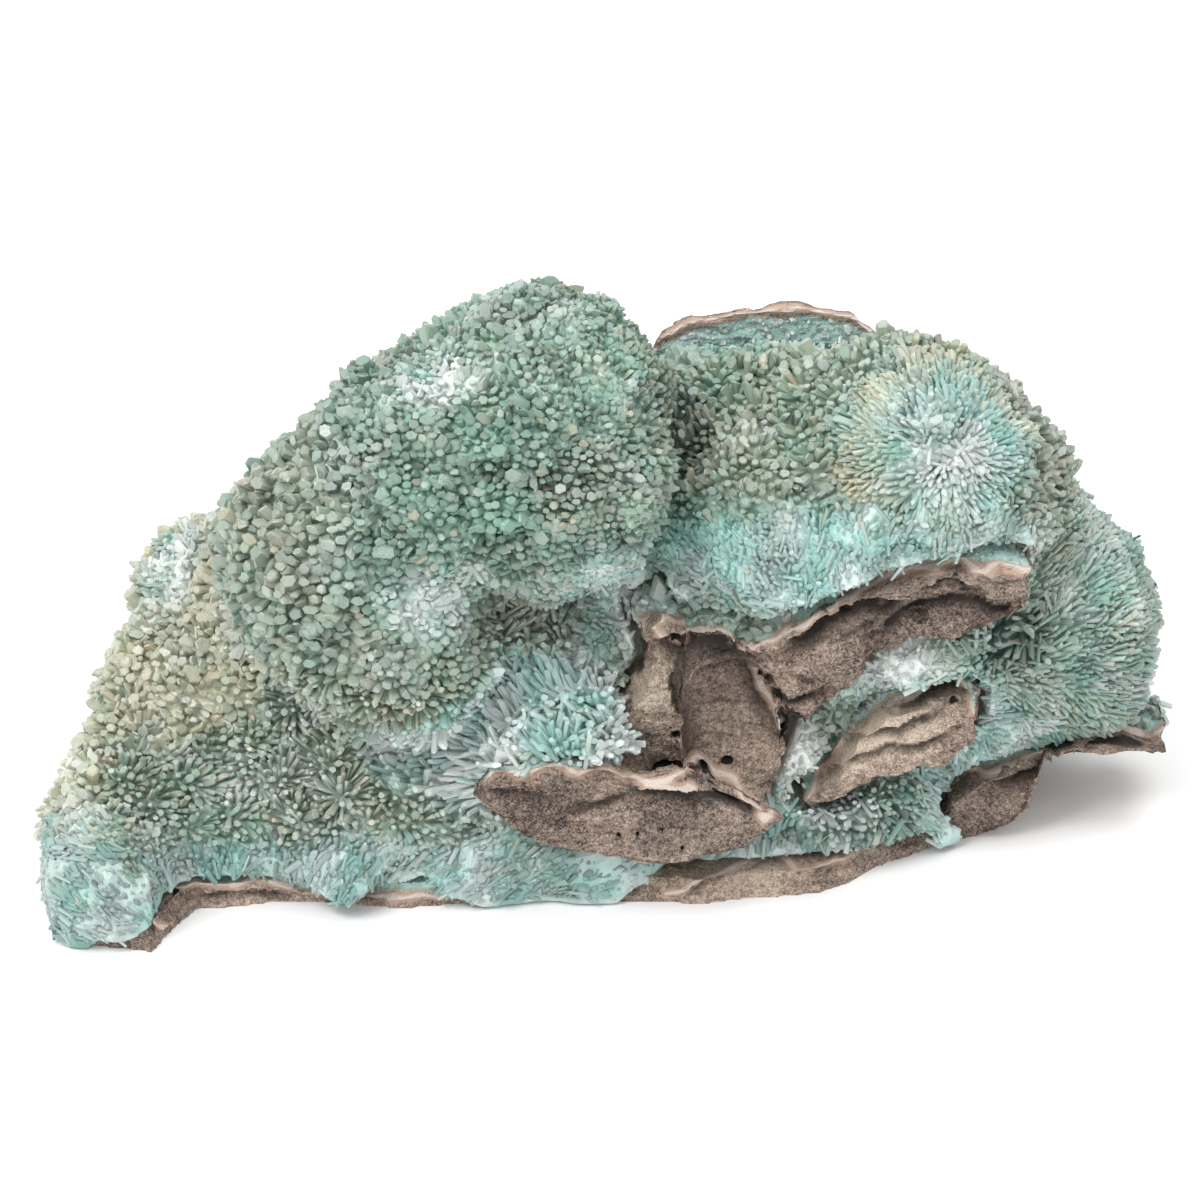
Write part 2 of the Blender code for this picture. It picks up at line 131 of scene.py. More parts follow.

# How the crystals of one stretch of crust look: gap between them, width, how far they stand out of
# the skin and reach into it, how far they lie down along it (0 upright, 1 flat), how much they stray,
# shares of blue, warm and pale, how far they spread in bunches, how deep the imported crust lies under
# its skin, how light their roots are (dark roots are partly painted shade between the crystals), and
# their tone (a low tone is painted shade in the dark habit, and partly so in the cleft habit).
Habit = namedtuple(
    "Habit", "gap width reach depth lie stray blue warm pale bunch bed root tone")
HABITS = {name: Habit(*row) for name, row in {
    "dome": (1.28, 1.9, 1.7, 3.0, 0.0, 0.17, 0.08, 0.1, 0.08, 1.0, 0.7, 0.88, 0.48),
    "fine": (1.08, 1.5, 1.4, 3.0, 0.0, 0.15, 0.04, 0.16, 0.08, 1.0, 0.6, 0.88, 0.54),
    "large": (1.6, 2.4, 2.2, 3.5, 0.0, 0.2, 0.12, 0.24, 0.04, 1.0, 0.9, 0.85, 0.44),
    "small": (1.12, 1.2, 2.6, 3.0, 0.0, 0.18, 0.16, 0.36, 0.2, 2.2, 1.4, 0.5, 0.6),
    "beige": (1.42, 1.9, 2.2, 3.5, 0.0, 0.2, 0.08, 0.68, 0.18, 1.3, 1.0, 0.85, 0.72),
    "grey": (1.32, 1.7, 2.2, 3.5, 0.0, 0.18, 0.05, 0.32, 0.14, 1.6, 1.2, 0.75, 0.56),
    "needle": (1.05, 0.95, 3.4, 4.0, 0.0, 0.14, 0.12, 0.44, 0.28, 2.8, 1.9, 0.4, 0.62),
    "back": (1.9, 2.8, 1.9, 3.5, 0.0, 0.14, 0.12, 0.25, 0.06, 1.0, 1.0, 0.8, 0.5),
    "sugar": (0.92, 1.0, 0.9, 2.2, 0.1, 0.6, 0.66, 0.03, 0.36, 0.4, 0.5, 0.8, 0.62),
    "frost": (1.1, 1.2, 1.5, 2.6, 0.1, 0.5, 0.6, 0.06, 0.6, 0.8, 0.8, 0.85, 0.74),
    "white": (1.0, 1.0, 1.2, 2.0, 0.2, 0.6, 0.3, 0.16, 0.95, 0.6, 0.7, 0.95, 1.0),
    "fibre": (1.0, 0.95, 0.8, 3.0, 0.72, 0.24, 0.85, 0.02, 0.26, 0.5, 0.35, 0.82, 0.66),
    "band": (1.02, 0.98, 0.6, 3.0, 0.78, 0.22, 0.8, 0.04, 0.18, 0.4, 0.3, 0.8, 0.42),
    "spray": (0.98, 0.92, 1.4, 4.5, 0.62, 0.18, 0.5, 0.22, 0.28, 0.8, 0.9, 0.65, 0.62),
    "rosette": (0.92, 0.92, 1.4, 4.5, 0.66, 0.14, 0.45, 0.08, 0.3, 0.4, 0.6, 0.85, 0.78),
    "fan": (1.15, 1.2, 4.4, 5.0, 0.62, 0.16, 0.95, 0.0, 0.52, 0.6, 1.0, 0.95, 1.0),
    # The dark habit is painted shade: sparse near-black crystals with wholly teal roots for a shaded
    # recess.
    "dark": (1.5, 1.2, 1.4, 5.0, 0.45, 0.3, 0.4, 0.08, 0.06, 0.6, 3.4, 0.0, 0.06),
    "shade": (1.15, 1.0, 1.8, 4.5, 0.5, 0.25, 0.5, 0.06, 0.34, 1.0, 1.8, 0.3, 0.5),
    # The cleft habit is partly its own grey-brown and partly painted shade in valleys of the crust.
    "cleft": (1.25, 1.3, 1.6, 4.0, 0.1, 0.2, 0.05, 0.42, 0.06, 1.4, 2.6, 0.1, 0.34),
    "brown": (1.1, 1.0, 2.8, 4.0, 0.2, 0.3, 0.1, 0.5, 0.26, 2.2, 1.9, 0.3, 0.52),
}.items()}

# Stretches of crust by place, the first that holds a point wins: habit, piece, middle, half sizes,
# and the point that lying crystals fan out from.
Zone = namedtuple("Zone", "habit piece middle half focus")
ZONES = [Zone(*row) for row in (
    ("frost", "crown_patches", (-28, -8, 96), (7, 9, 6), (-28, -4, 90)),
    ("frost", "crown_patches", (-27, -24, 61), (10, 8, 7), (-28, -16, 60)),
    ("frost", "left_lobe_crystals", (-80, 16, 46), (8, 12, 8), (-78, 14, 40)),
    ("frost", "right_rosette", (62, -8, 84), (6, 8, 6), (62, -4, 78)),
    ("rosette", "right_rosette", (62, -5, 84), (21, 18, 17), (62, -4, 80)),
    ("white", "ledge_fibres", (37, -9, 18), (6, 11, 9), (36, 0, 18)),
    ("white", "ledge_fibres", (56, -8, 41), (11, 9, 5), (56, 0, 38)),
    # Painted shade in a recess under the stone's rim.
    ("dark", "right_sprays", (75, -7, 42), (7, 12, 6), (76, 6, 40)),
    ("fibre", "ledge_fibres", (56, -8, 38), (18, 12, 9), (46, -4, 10)),
    ("fan", "front_fan", (-16, -19, 31), (28, 14, 16), (-4, -14, 20)),
    ("brown", "hollow_crystals", (-14, -10, 49), (12, 12, 8), (-6, -4, 42)),
    ("sugar", "hollow_crystals", (0, -12, 58), (9, 22, 16), (6, -6, 48)),
    # Partly painted shade in valleys of the crust.
    ("cleft", "saddle_crystals", (14, 4, 84), (4, 18, 18), (14, 10, 60)),
    ("cleft", "crown_crystals", (-9, -18, 84), (13, 9, 3), (-9, 0, 70)),
    ("fibre", "ledge_fibres", (46, -12, 62), (42, 14, 11), (46, -8, 30)),
    ("spray", "right_sprays", (92, 2, 40), (20, 40, 24), (70, 2, 34)),
    ("fibre", "right_sprays", (84, -4, 24), (26, 24, 14), (62, 4, 28)),
    ("shade", "lower_fibres", (46, -12, 11), (14, 14, 8), (44, -2, 22)),
    ("band", "lower_fibres", (40, -14, 8), (50, 18, 14), (34, -2, 30)),
    ("band", "lower_fibres", (-94, -38, 8), (20, 20, 13), (-74, -40, -2)),
    ("band", "lower_fibres", (-28, -34, 2), (86, 14, 14), (-62, -30, -26)),
    ("needle", "apron_crystals", (-42, -22, 34), (26, 18, 16), (-40, 0, 44)),
    ("small", "apron_crystals", (-48, -26, 22), (44, 18, 14), (-44, 0, 20)),
    ("beige", "left_lobe_crystals", (-94, 0, 26), (34, 60, 40), (-70, 0, 10)),
    ("sugar", "saddle_crystals", (32, 40, 84), (28, 12, 12), (32, 38, 60)),
    ("back", "back_crystals", (0, 66, 50), (140, 46, 90), (0, 0, 40)),
    ("grey", "saddle_crystals", (30, 6, 82), (24, 40, 26), (28, 12, 60)),
    ("grey", "right_dome_crystals", (74, 0, 60), (44, 70, 60), (60, 10, 60)),
    ("fine", "crown_crystals", (8, 0, 92), (18, 40, 30), (0, 0, 60)),
    ("large", "crown_left_crystals", (-62, 0, 64), (24, 60, 40), (-40, 0, 60)),
    ("dome", "crown_crystals", (-20, 0, 60), (200, 200, 200), (-20, 0, 60)),
)]

# Stretches where the crust hangs over the stone's edge: middle, half sizes, and how far it moves.
OVERHANGS = [
    ((-8, -28, 7), (24, 9, 9), (0, -5, -6.5)),
    ((37, -10, 18), (7, 10, 9), (-1, -4, 0)),
    ((58, -8, 40), (12, 8, 6), (0, -3, 0)),
    ((-90, -42, 6), (14, 12, 10), (1, -1.2, -3.5)),
    ((-41, -36, 6), (14, 9, 8), (0, -2, -3.5)),
    ((92, -9, 17), (18, 10, 7), (0, 3, 1)),
]

# Sandstone as seen from the front and 30 degrees above, in millimetres across and up: size of its
# grid, how many of its rims are upper edges that crust grows down to, pale rims, undercuts (depth,
# width and sharp edge, the hollow on the line's right-hand side, which is also painted dark as
# shade), holes (place, radius; painted black inside as shade), lighter or darker stretches (place,
# radius, change; some darker ones are painted shade), moved stretches (middle, half sizes, shift),
# and the lower edge of an overhanging end.
Stone = namedtuple(
    "Stone", "detail tops rims undercuts holes tones moves underside", defaults=[()] * 5)
STONES = {
    "matrix_front_rib": Stone(0.5, 3, rims=[
        [(16, 34.8), (21, 35.4), (24, 34.4), (26, 32.2), (30, 34.1), (33, 35.9), (37, 37.2),
         (40, 39.4), (44, 41.1), (46, 43), (49, 44.8), (52, 46.2), (60, 46.8), (64, 48.2),
         (67, 46.8), (69, 46.3), (72, 47), (77, 46)],
        [(-22, 8), (-18, 10.6), (-13, 10.1), (-8, 11.5), (-4, 10.1), (2, 11.1)],
        [(4, 36.8), (9, 38), (15, 37.2)],
        [(2, 11.1), (8, 8.4), (17, 7)],
        [(6, 36), (8, 36.8), (10, 36), (12, 32.6), (14, 31.3), (16, 34.8)],
        [(9, 8.4), (13, 9.2), (18, 11.8), (21, 10.1), (24, 8.7), (26, 5.9), (28, 4.6), (30, 1.5),
         (32, 3.6), (35, 4.9)],
        [(24, 34.4), (26, 30.3), (28, 26.4), (30, 22.9), (32, 20.2), (33, 17.2)],
    ], undercuts=[
        (4.5, 6.5, [(36, 35.4), (40, 38.2), (44, 40.2), (47, 41.6), (50.5, 41)]),
        (3.2, 4.4, [(50, 36), (53, 38.6), (58, 41), (66, 41.2), (70, 40.2), (74, 39.5)]),
        (2.4, 3.0, [(58.5, 44.2), (61, 44.9), (63, 45), (66, 43.2)]),
        (1.5, 2.0, [(70, 45.2), (72, 44.6), (76, 44.8)]),
        (2.2, 3.0, [(30, 25.9), (32, 24), (34, 23), (37, 23.9), (39, 24.8)]),
        (2.0, 3.0, [(32, 21.1), (35, 19.6), (38, 17.6)]),
        (1.6, 2.4, [(42, 34), (46, 35.6), (50, 38)]),
        (4.0, 8.0, [(15, 34.4), (17, 35), (21, 35), (24, 33.6)]),
        (1.6, 6.0, [(15, 12.5), (14, 20), (13, 24), (13, 28), (14, 31.3), (15, 33.4)]),
        (1.6, 5.0, [(24, 33.6), (26, 30.3), (28, 26.4), (30, 22.9), (32, 20.2), (33, 17.2)]),
        (2.4, 4.5, [(7, 7.6), (13, 7.1), (17, 6.4), (22, 7), (26, 5)]),
        (1.6, 2.6, [(-21, 7.4), (-17, 6.9), (-13, 6), (-9, 5.8)]),
        (1.6, 2.6, [(-5, 3.4), (0, 4.3), (3, 6), (7, 6.2)]),
    ], holes=[
        (34, 15.6, 1.25), (29, 25.9, 0.55), (14, 15.7, 0.65), (12.8, 17.2, 0.35),
        (15.2, 17.4, 0.35), (23, 11.1, 0.8), (19, 9.4, 1.2), (20.4, 8.2, 0.8), (63, 45.4, 0.5),
        (79, 38.7, 0.7), (53, 40, 0.4), (1, 0.8, 0.35), (3, -2.4, 0.5), (7, -1.8, 0.45),
        (11, -0.9, 0.35), (0, 3.0, 0.3), (15, -5, 0.4),
    ], tones=[
        # Darker stretches here are partly painted shade, such as the top of the scoop under its rim.
        (7, 24, 7, 0.48), (20, 32, 5, -0.3), (23, 18, 8, 0.16), (46, 28, 6, -0.1),
        (52, 36, 12, -0.1), (-14, 4, 9, -0.24), (16, 5, 9, -0.2), (68, 41, 9, -0.1),
    ]),
    "matrix_middle_rib": Stone(0.45, 1, rims=[
        [(38, 5), (40, 9.9), (43, 13.3), (47, 17.5), (50, 21), (54, 22.7), (57, 23.2), (59, 25.2),
         (64, 27.9), (66, 26.3), (67.4, 24.4), (67.8, 20.6)],
    ], undercuts=[
        (1.8, 2.6, [(53, 21.4), (57, 22.6), (59, 24.4), (62, 26.2), (64, 27.0), (66, 25.4)]),
        (1.8, 2.8, [(46, 16.6), (50, 17.1), (54, 17.1), (57, 19.3), (60, 20.6)]),
        (1.6, 2.4, [(44, 11), (48, 12.6), (53, 13.8), (58, 14.2), (63, 17)]),
    ], holes=[
        (64, 22.4, 0.9), (52, 21, 0.6), (57, 17, 0.3),
    ], tones=[
        (44, 13, 7, 0.4), (62, 24, 5, -0.1), (54, 19, 9, 0.45),
    ]),
    "matrix_base": Stone(0.7, 2, rims=[
        [(-79, -11), (-75, -10.8), (-71, -10.3), (-67, -10.7), (-62, -9.8), (-58, -10.5),
         (-54, -12.4), (-50, -12.4), (-47, -11.4), (-42, -12.8), (-36, -13.4), (-28, -13)],
        [(66, 10.7), (69, 9.4), (72, 9.3), (78, 11.5), (84, 13.7), (93, 16.3), (99, 17),
         (103, 15), (107, 18.4)],
        [(-90, -14.2), (-86, -13.7), (-82, -15.7), (-77, -18.1)],
        [(12, -12.8), (16, -11.4), (21, -9.2), (25, -7.3), (29, -5.1), (33, -5.4), (36, -8.2),
         (42, -7.2), (48, -4)],
    ], undercuts=[
        (1.6, 2.2, [(-73, -12.4), (-67, -12), (-62, -12.4), (-57, -13)]),
        (1.4, 2.0, [(-51, -13.6), (-46, -12.7), (-41, -13.4)]),
        (1.2, 1.2, [(-85, -15.4), (-82, -16.6), (-79, -18)]),
        (4.0, 6.0, [(76, 8.6), (84, 12.4), (92, 15), (98, 15.8), (103, 13.8)]),
        (1.2, 1.2, [(16, -12.2), (21, -10.2), (25, -8.4), (29, -7), (33, -7.2)]),
    ], holes=[
        (-77, -12.2, 0.8), (22, -10.6, 0.35), (31, -9, 0.35), (-49, -12.4, 0.4),
    ], tones=[
        (26, -9, 12, 0.36), (-82, -18, 6, -0.1), (72, 3, 9, -0.1), (-60, -13, 12, 0.2),
        (-40, -14, 9, 0.2),
    ], moves=[
        ((92, -14, 10), (24, 24, 16), (0, 0, 2.8)),
    ], underside=[
        (81, 5), (82.5, 11), (88, 12), (96, 11.8), (104, 12), (108, 13.5),
    ]),
    "matrix_back": Stone(0.8, 0, rims=[
        [(10, 89), (18, 92.9), (27, 94.5), (37, 95.3), (47, 93.6), (54, 89.3)],
    ]),
}


def number(name, description, default, **kind):
    """A number that can be changed."""
    return FloatProperty(name=name, description=description, default=default, **kind)


def colour(name, description, *shares):
    """A colour that can be changed."""
    return FloatVectorProperty(name=name, description=description, subtype="COLOR", default=shares)


class AragoniteSettings(bpy.types.PropertyGroup):
    """Crystals of the crust."""

    width: number("Crystal width", "Scale of all crystal widths", 1.0, min=0.3)
    reach: number("Crystal reach", "Scale of how far crystals stand out", 1.0, min=0.1)
    bunching: number(
        "Bunching", "Middle distance between groups of crystals", 8.0 * MM, unit="LENGTH")
    green: colour("Grey green", "Body colour of the dome crystals", 0.42, 0.55, 0.45)
    # Partly the roots' own deeper colour, partly painted shade between the crystals.
    teal: colour("Deep teal", "Colour of the crystals' roots", 0.12, 0.26, 0.21)
    sea: colour("Sea green", "Second body colour of the dome crystals", 0.28, 0.50, 0.40)
    sky: colour("Sky blue", "Second colour of the fibrous crust", 0.50, 0.73, 0.73)
    blue: colour("Aqua", "Colour of the fibrous crust", 0.34, 0.64, 0.60)
    warm: colour("Beige", "Colour of the weathered crystals", 0.70, 0.64, 0.46)
    pale: colour("Frost", "Colour of bruised and sugary crystals", 0.84, 0.88, 0.86)


class SandstoneSettings(bpy.types.PropertyGroup):
    """The sandstone that the crust grew on."""

    grain: number("Grain", "Size of a sand grain", 0.3 * MM, unit="LENGTH")
    light: colour("Light sand", "Colour of the pale grains", 0.62, 0.51, 0.41)
    middle: colour("Middle sand", "Colour between the pale and the dark grains", 0.30, 0.225, 0.18)
    dark: colour("Dark sand", "Colour of the dark grains", 0.055, 0.042, 0.036)
    rim: colour("Rim", "Colour of the thin laminated rims", 0.52, 0.36, 0.28)
    bright: colour("Bright rim", "Colour of the sharp edge of a rim", 0.66, 0.58, 0.52)
    # Painted shade: near-black colour laid deep in the undercuts, where shade falls.
    soot: colour("Undercut", "Colour of the stone deep in an undercut", 0.022, 0.016, 0.013)
    # Painted shade: near-black colour laid inside the holes.
    hole: colour("Hole", "Colour inside a hole", 0.008, 0.008, 0.008)
    crust: colour(
        "Thin crust", "Colour of the stone where crust has started to grow",
        0.42, 0.60, 0.56)


class StageSettings(bpy.types.PropertyGroup):
    """Camera, floor and lights."""

    distance: number("Camera distance", "From the specimen's middle", 0.76, unit="LENGTH")
    elevation: number(
        "Camera elevation", "Angle above the floor", math.radians(30.0), subtype="ANGLE")
    aim_height: number("Aim height", "Height that the camera aims at", 0.047, unit="LENGTH")
    view_width: number("View width", "Width of the picture at the specimen", 0.2191, unit="LENGTH")
    key_light: number("Key light", "Power of the large soft light", 5.0, unit="POWER")


def value_noise(places, size, seed):
    """Smooth random numbers from -1 to 1 at each place, with bumps of the given size."""
    grid = np.asarray(places) / size
    low = np.floor(grid).astype(np.int64)
    part = grid - low
    part = part * part * (3.0 - 2.0 * part)
    total = np.zeros(len(grid))
    for corner in np.ndindex(2, 2, 2):
        cell = low + np.array(corner)
        mixed = np.bitwise_xor.reduce(cell * (73856093, 19349663, 83492791), axis=1)
        mixed = mixed ^ seed * 2654435
        mixed = (mixed * 1103515245 + 12345) & 0x7FFFFFFF
        mixed = ((mixed >> 7) * 69069 + 1) & 0xFFFFFF
        share = np.where(np.array(corner) == 1, part, 1.0 - part).prod(axis=1)
        total += (mixed / 0x7FFFFF - 1.0) * share
    return total


def layered_noise(places, size, seed, octaves=3):
    """Noise with finer bumps on coarser ones."""
    total = np.zeros(len(places))
    for i in range(octaves):
        total += value_noise(places, size / 2 ** i, seed + i) / 2 ** i
    return total


def unit(vectors):
    """The vectors at length 1."""
    return vectors / np.maximum(1e-12, np.linalg.norm(vectors, axis=-1, keepdims=True))


def rows_of(items, key, kind=float):
    """One value in three parts of each item, as rows."""
    rows = np.empty(len(items) * 3, dtype=kind)
    items.foreach_get(key, rows)
    return rows.reshape(-1, 3)


def mesh_arrays(mesh):
    """Vertex places and triangles of a mesh."""
    mesh.calc_loop_triangles()
    return rows_of(mesh.vertices, "co"), rows_of(mesh.loop_triangles, "vertices", np.int32)


def vertex_normals(mesh):
    """Normals at the vertices of a mesh."""
    return rows_of(mesh.vertex_normals, "vector")


def remade(mesh, name, voxel, smoothing=0):
    """A copy of a mesh, wrapped in an even skin of small faces."""
    obj = bpy.data.objects.new(name, mesh.copy())
    bpy.context.scene.collection.objects.link(obj)
    skin = obj.modifiers.new("skin", "REMESH")
    skin.mode = "VOXEL"
    skin.voxel_size = voxel
    if smoothing:
        smooth = obj.modifiers.new("smooth", "SMOOTH")
        smooth.factor = 0.5
        smooth.iterations = smoothing
    graph = bpy.context.evaluated_depsgraph_get()
    made = bpy.data.meshes.new_from_object(obj.evaluated_get(graph))
    bpy.data.objects.remove(obj)
    made.name = name
    return made


def piece(name, mesh, material, node):
    """Links a mesh as a piece of the specimen."""
    obj = bpy.data.objects.new(name, mesh)
    bpy.context.scene.collection.objects.link(obj)
    mesh.materials.clear()
    mesh.materials.append(material)
    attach(obj, "root")
    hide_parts(node)


def stone_tree():
    """Search tree over the triangles of all sandstone nodes."""
    places, faces = [], []
    for name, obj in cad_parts.items():
        if name.startswith("matrix"):
            points, triangles = mesh_arrays(obj.data)
            faces.append(triangles + sum(len(p) for p in places))
            places.append(points)
    return BVHTree.FromPolygons(np.vstack(places).tolist(), np.vstack(faces).tolist())


class Shader:
    """Builds one material's nodes."""

    def __init__(self, name):
        self.material = bpy.data.materials.new(name)
        self.material.use_nodes = True
        self.tree = self.material.node_tree
        self.principled = self.tree.nodes["Principled BSDF"]

    def node(self, kind, settings=None, **sockets):
        """A node of a kind, its settings made first, then values or links of its sockets."""
        made = self.tree.nodes.new(kind)
        for key, value in (settings or {}).items():
            if key == "stops":
                self.set_stops(made.color_ramp, value)
            else:
                setattr(made, key, value)
        for key, value in sockets.items():
            self.feed(made.inputs[int(key[1:])] if key[1:].isdigit() else made.inputs[key], value)
        return made

    def set_stops(self, ramp, stops):
        """Puts the stops of a colour ramp."""
        while len(ramp.elements) < len(stops):
            ramp.elements.new(0.5)
        for element, (place, grey) in zip(ramp.elements, stops):
            element.position = place
            element.color = (grey, grey, grey, 1.0)

    def feed(self, socket, value):
        """Links or sets a socket."""
        if isinstance(value, Signal):
            self.tree.links.new(value.socket, socket)
        elif isinstance(value, bpy.types.NodeSocket):
            self.tree.links.new(value, socket)
        elif socket.type == "RGBA":
            socket.default_value = (*value, 1.0)
        else:
            socket.default_value = value

    def math(self, operation, a, b=0.0, clamp=False):
        """A Math node on values."""
        made = self.node("ShaderNodeMath", {"operation": operation, "use_clamp": clamp}, i0=a, i1=b)
        return Signal(self, made.outputs[0])

    def attribute(self, name):
        """A number stored on the mesh."""
        made = self.node("ShaderNodeAttribute", {"attribute_name": name})
        return Signal(self, made.outputs["Fac"])

    def noise(self, places, scale, detail=3.0, roughness=0.55):
        """A noise value from 0 to 1."""
        made = self.node(
            "ShaderNodeTexNoise", None, Vector=places, Scale=scale, Detail=detail,
            Roughness=roughness)
        return Signal(self, made.outputs["Fac"])

    def ramp(self, value, *stops):
        """A value through a ramp of greys."""
        made = self.node("ShaderNodeValToRGB", {"stops": stops}, Fac=value)
        return Signal(self, made.outputs["Color"])

    def mix(self, share, first, second, blend="MIX"):
        """A mix of two colours."""
        made = self.node("ShaderNodeMix", {"data_type": "RGBA", "blend_type": blend})
        self.feed(made.inputs[0], share)
        self.feed(made.inputs[6], first)
        self.feed(made.inputs[7], second)
        return made.outputs[2]

    def places(self):
        """Places in the specimen's frame, in metres."""
        return self.node("ShaderNodeTexCoord").outputs["Object"]

    def bump(self, height, distance, strength):
        """A normal from a height."""
        made = self.node(
            "ShaderNodeBump", None, Strength=strength, Distance=distance, Height=height)
        return made.outputs["Normal"]

    def finish(self, constants, **links):
        """Sets the shader's own sockets."""
        for name, value in constants.items():
            self.principled.inputs[name].default_value = value
        for name, value in links.items():
            self.feed(self.principled.inputs[name.replace("_", " ")], value)
        return self.material


class Signal:
    """A number on its way through a material, with arithmetic."""

    def __init__(self, shader, socket):
        self.shader = shader
        self.socket = socket

    def __add__(self, other):
        return self.shader.math("ADD", self, other)

    __radd__ = __add__

    def __sub__(self, other):
        return self.shader.math("SUBTRACT", self, other)

    def __rsub__(self, other):
        return self.shader.math("SUBTRACT", other, self)

    def __mul__(self, other):
        return self.shader.math("MULTIPLY", self, other)

    __rmul__ = __mul__

    def clamped(self):
        """Kept from 0 to 1."""
        return self.shader.math("ADD", self, 0.0, clamp=True)


def aragonite_material(name, settings, clear):
    """Aragonite: dark at the root (partly painted shade), clearer to the tip (with a faint painted
    highlight), with blue, beige and frosted shares.
    """
    shader = Shader(name)
    flow = shader.node("ShaderNodeAttribute", {"attribute_name": "flow"}).outputs["Vector"]
    along = shader.attribute("along")
    cloud = shader.attribute("cloud")
    streak = shader.noise(flow, 1.1, 2.0)
    green = shader.mix(shader.attribute("sea"), settings.green, settings.sea)
    aqua = shader.mix(cloud, settings.blue, settings.sky)
    body = shader.mix(shader.attribute("blue"), green, aqua)
    body = shader.mix(shader.attribute("warm"), body, settings.warm)
    pale = shader.attribute("pale")
    frosting = pale + (cloud - 0.5) * (pale + 0.2) + (streak - 0.5) * 0.6
    body = shader.mix(frosting.clamped(), body, settings.pale)
    # The tone darkens the body; it holds painted shade from the seams, the dark habit and the clefts.
    shade = shader.ramp(
        shader.attribute("tint"), (0.0, 0.2), (0.25, 0.66), (0.55, 0.91), (1.0, 1.17))
    body = shader.mix(1.0, body, shade, "MULTIPLY")
    # Roots are laid dark teal: partly their own deeper colour, partly painted shade between the
    # crystals.
    rooted_and_shaded = shader.mix(shader.ramp(along, (0.0, 0.0), (0.85, 1.0)), settings.teal, body)
    # Painted highlight: the crystals' ends lightened a little towards frost, as light caught at their
    # tips.
    edge = (shader.ramp(along, (0.86, 0.0), (1.0, 1.0)) * 0.06).clamped()
    colour = shader.mix(edge, rooted_and_shaded, settings.pale)
    rough = shader.ramp(streak, (0.3, 0.2), (0.7, 0.5))
    return shader.finish(
        {"Transmission Weight": clear, "IOR": ARAGONITE_IOR},
        Base_Color=colour, Roughness=rough, Normal=shader.bump(streak, 0.2 * MM, 0.6))


def sandstone_material(settings):
    """Granular sandstone: speckled grains, pale laminated rims, and pits and undercuts painted black
    as shade.
    """
    shader = Shader("sandstone")
    where = shader.places()
    grains = shader.node(
        "ShaderNodeTexVoronoi", None, Vector=where, Scale=1.0 / settings.grain, Randomness=1.0)
    grain_tone = shader.node("ShaderNodeSeparateColor", None, Color=grains.outputs["Color"])
    speck = Signal(shader, grain_tone.outputs[0])
    round_grain = Signal(shader, grains.outputs["Distance"])
    broad = shader.noise(where, 110.0, 3.0)
    fine = shader.noise(where, 900.0, 1.0)
    speckle = (broad - 0.5) * 0.7 + (speck - 0.5) * 0.5 + (fine - 0.5) * 0.7
    tone = shader.attribute("tone") + speckle
    colour = shader.mix(shader.ramp(tone, (0.05, 0.0), (0.5, 1.0)), settings.dark, settings.middle)
    colour = shader.mix(shader.ramp(tone, (0.5, 0.0), (0.95, 1.0)), colour, settings.light)
    # Painted shade: the undercuts darkened towards near black, unevenly.
    soot = shader.attribute("soot") * (broad * 0.8 + 0.6)
    colour = shader.mix(soot.clamped(), colour, settings.soot)
    wobble = (shader.noise(where, 260.0, 2.0) - 0.5) * 0.08
    rim = shader.attribute("rim") + wobble
    colour = shader.mix(shader.ramp(rim, (0.07, 0.85), (0.12, 0.0)), colour, settings.rim)
    colour = shader.mix(shader.ramp(rim, (0.025, 0.9), (0.05, 0.0)), colour, settings.bright)
    # Painted shade: the inside of each hole is laid near black.
    open_stone = shader.ramp(shader.attribute("pit"), (0.9, 0.0), (1.0, 1.0))
    colour = shader.mix(open_stone, settings.hole, colour)
    colour = shader.mix(shader.attribute("crust"), colour, settings.crust)
    height = broad * 1.5 - round_grain
    return shader.finish(
        {"Roughness": 0.85, "IOR": SAND_IOR}, Base_Color=colour,
        Normal=shader.bump(height, 0.22 * MM, 0.9))


def stage_material(name, colour):
    """Plain matt paper."""
    shader = Shader(name)
    return shader.finish({"Base Color": (*colour, 1.0), "Roughness": 0.9})


def in_zone(zone, places):
    """Which places (table millimetres) lie in a zone's ellipsoid."""
    away = (places - np.array(zone.middle)) / np.array(zone.half)
    return (away ** 2).sum(axis=1) < 1.0


def scattered(places, triangles, normals, count, rng):
    """Random points all over a skin, with their normals."""
    corners = places[triangles]
    area = np.linalg.norm(
        np.cross(corners[:, 1] - corners[:, 0], corners[:, 2] - corners[:, 0]), axis=1)
    chosen = rng.choice(len(triangles), count, p=area / area.sum())
    a, b = rng.random((2, count, 1))
    flip = a + b > 1.0
    a, b = np.where(flip, 1.0 - a, a), np.where(flip, 1.0 - b, b)
    corner = corners[chosen]
    points = corner[:, 0] * (1.0 - a - b) + corner[:, 1] * a + corner[:, 2] * b
    three = normals[triangles[chosen]]
    facing = three[:, 0] * (1.0 - a - b) + three[:, 1] * a + three[:, 2] * b
    return points, unit(facing)


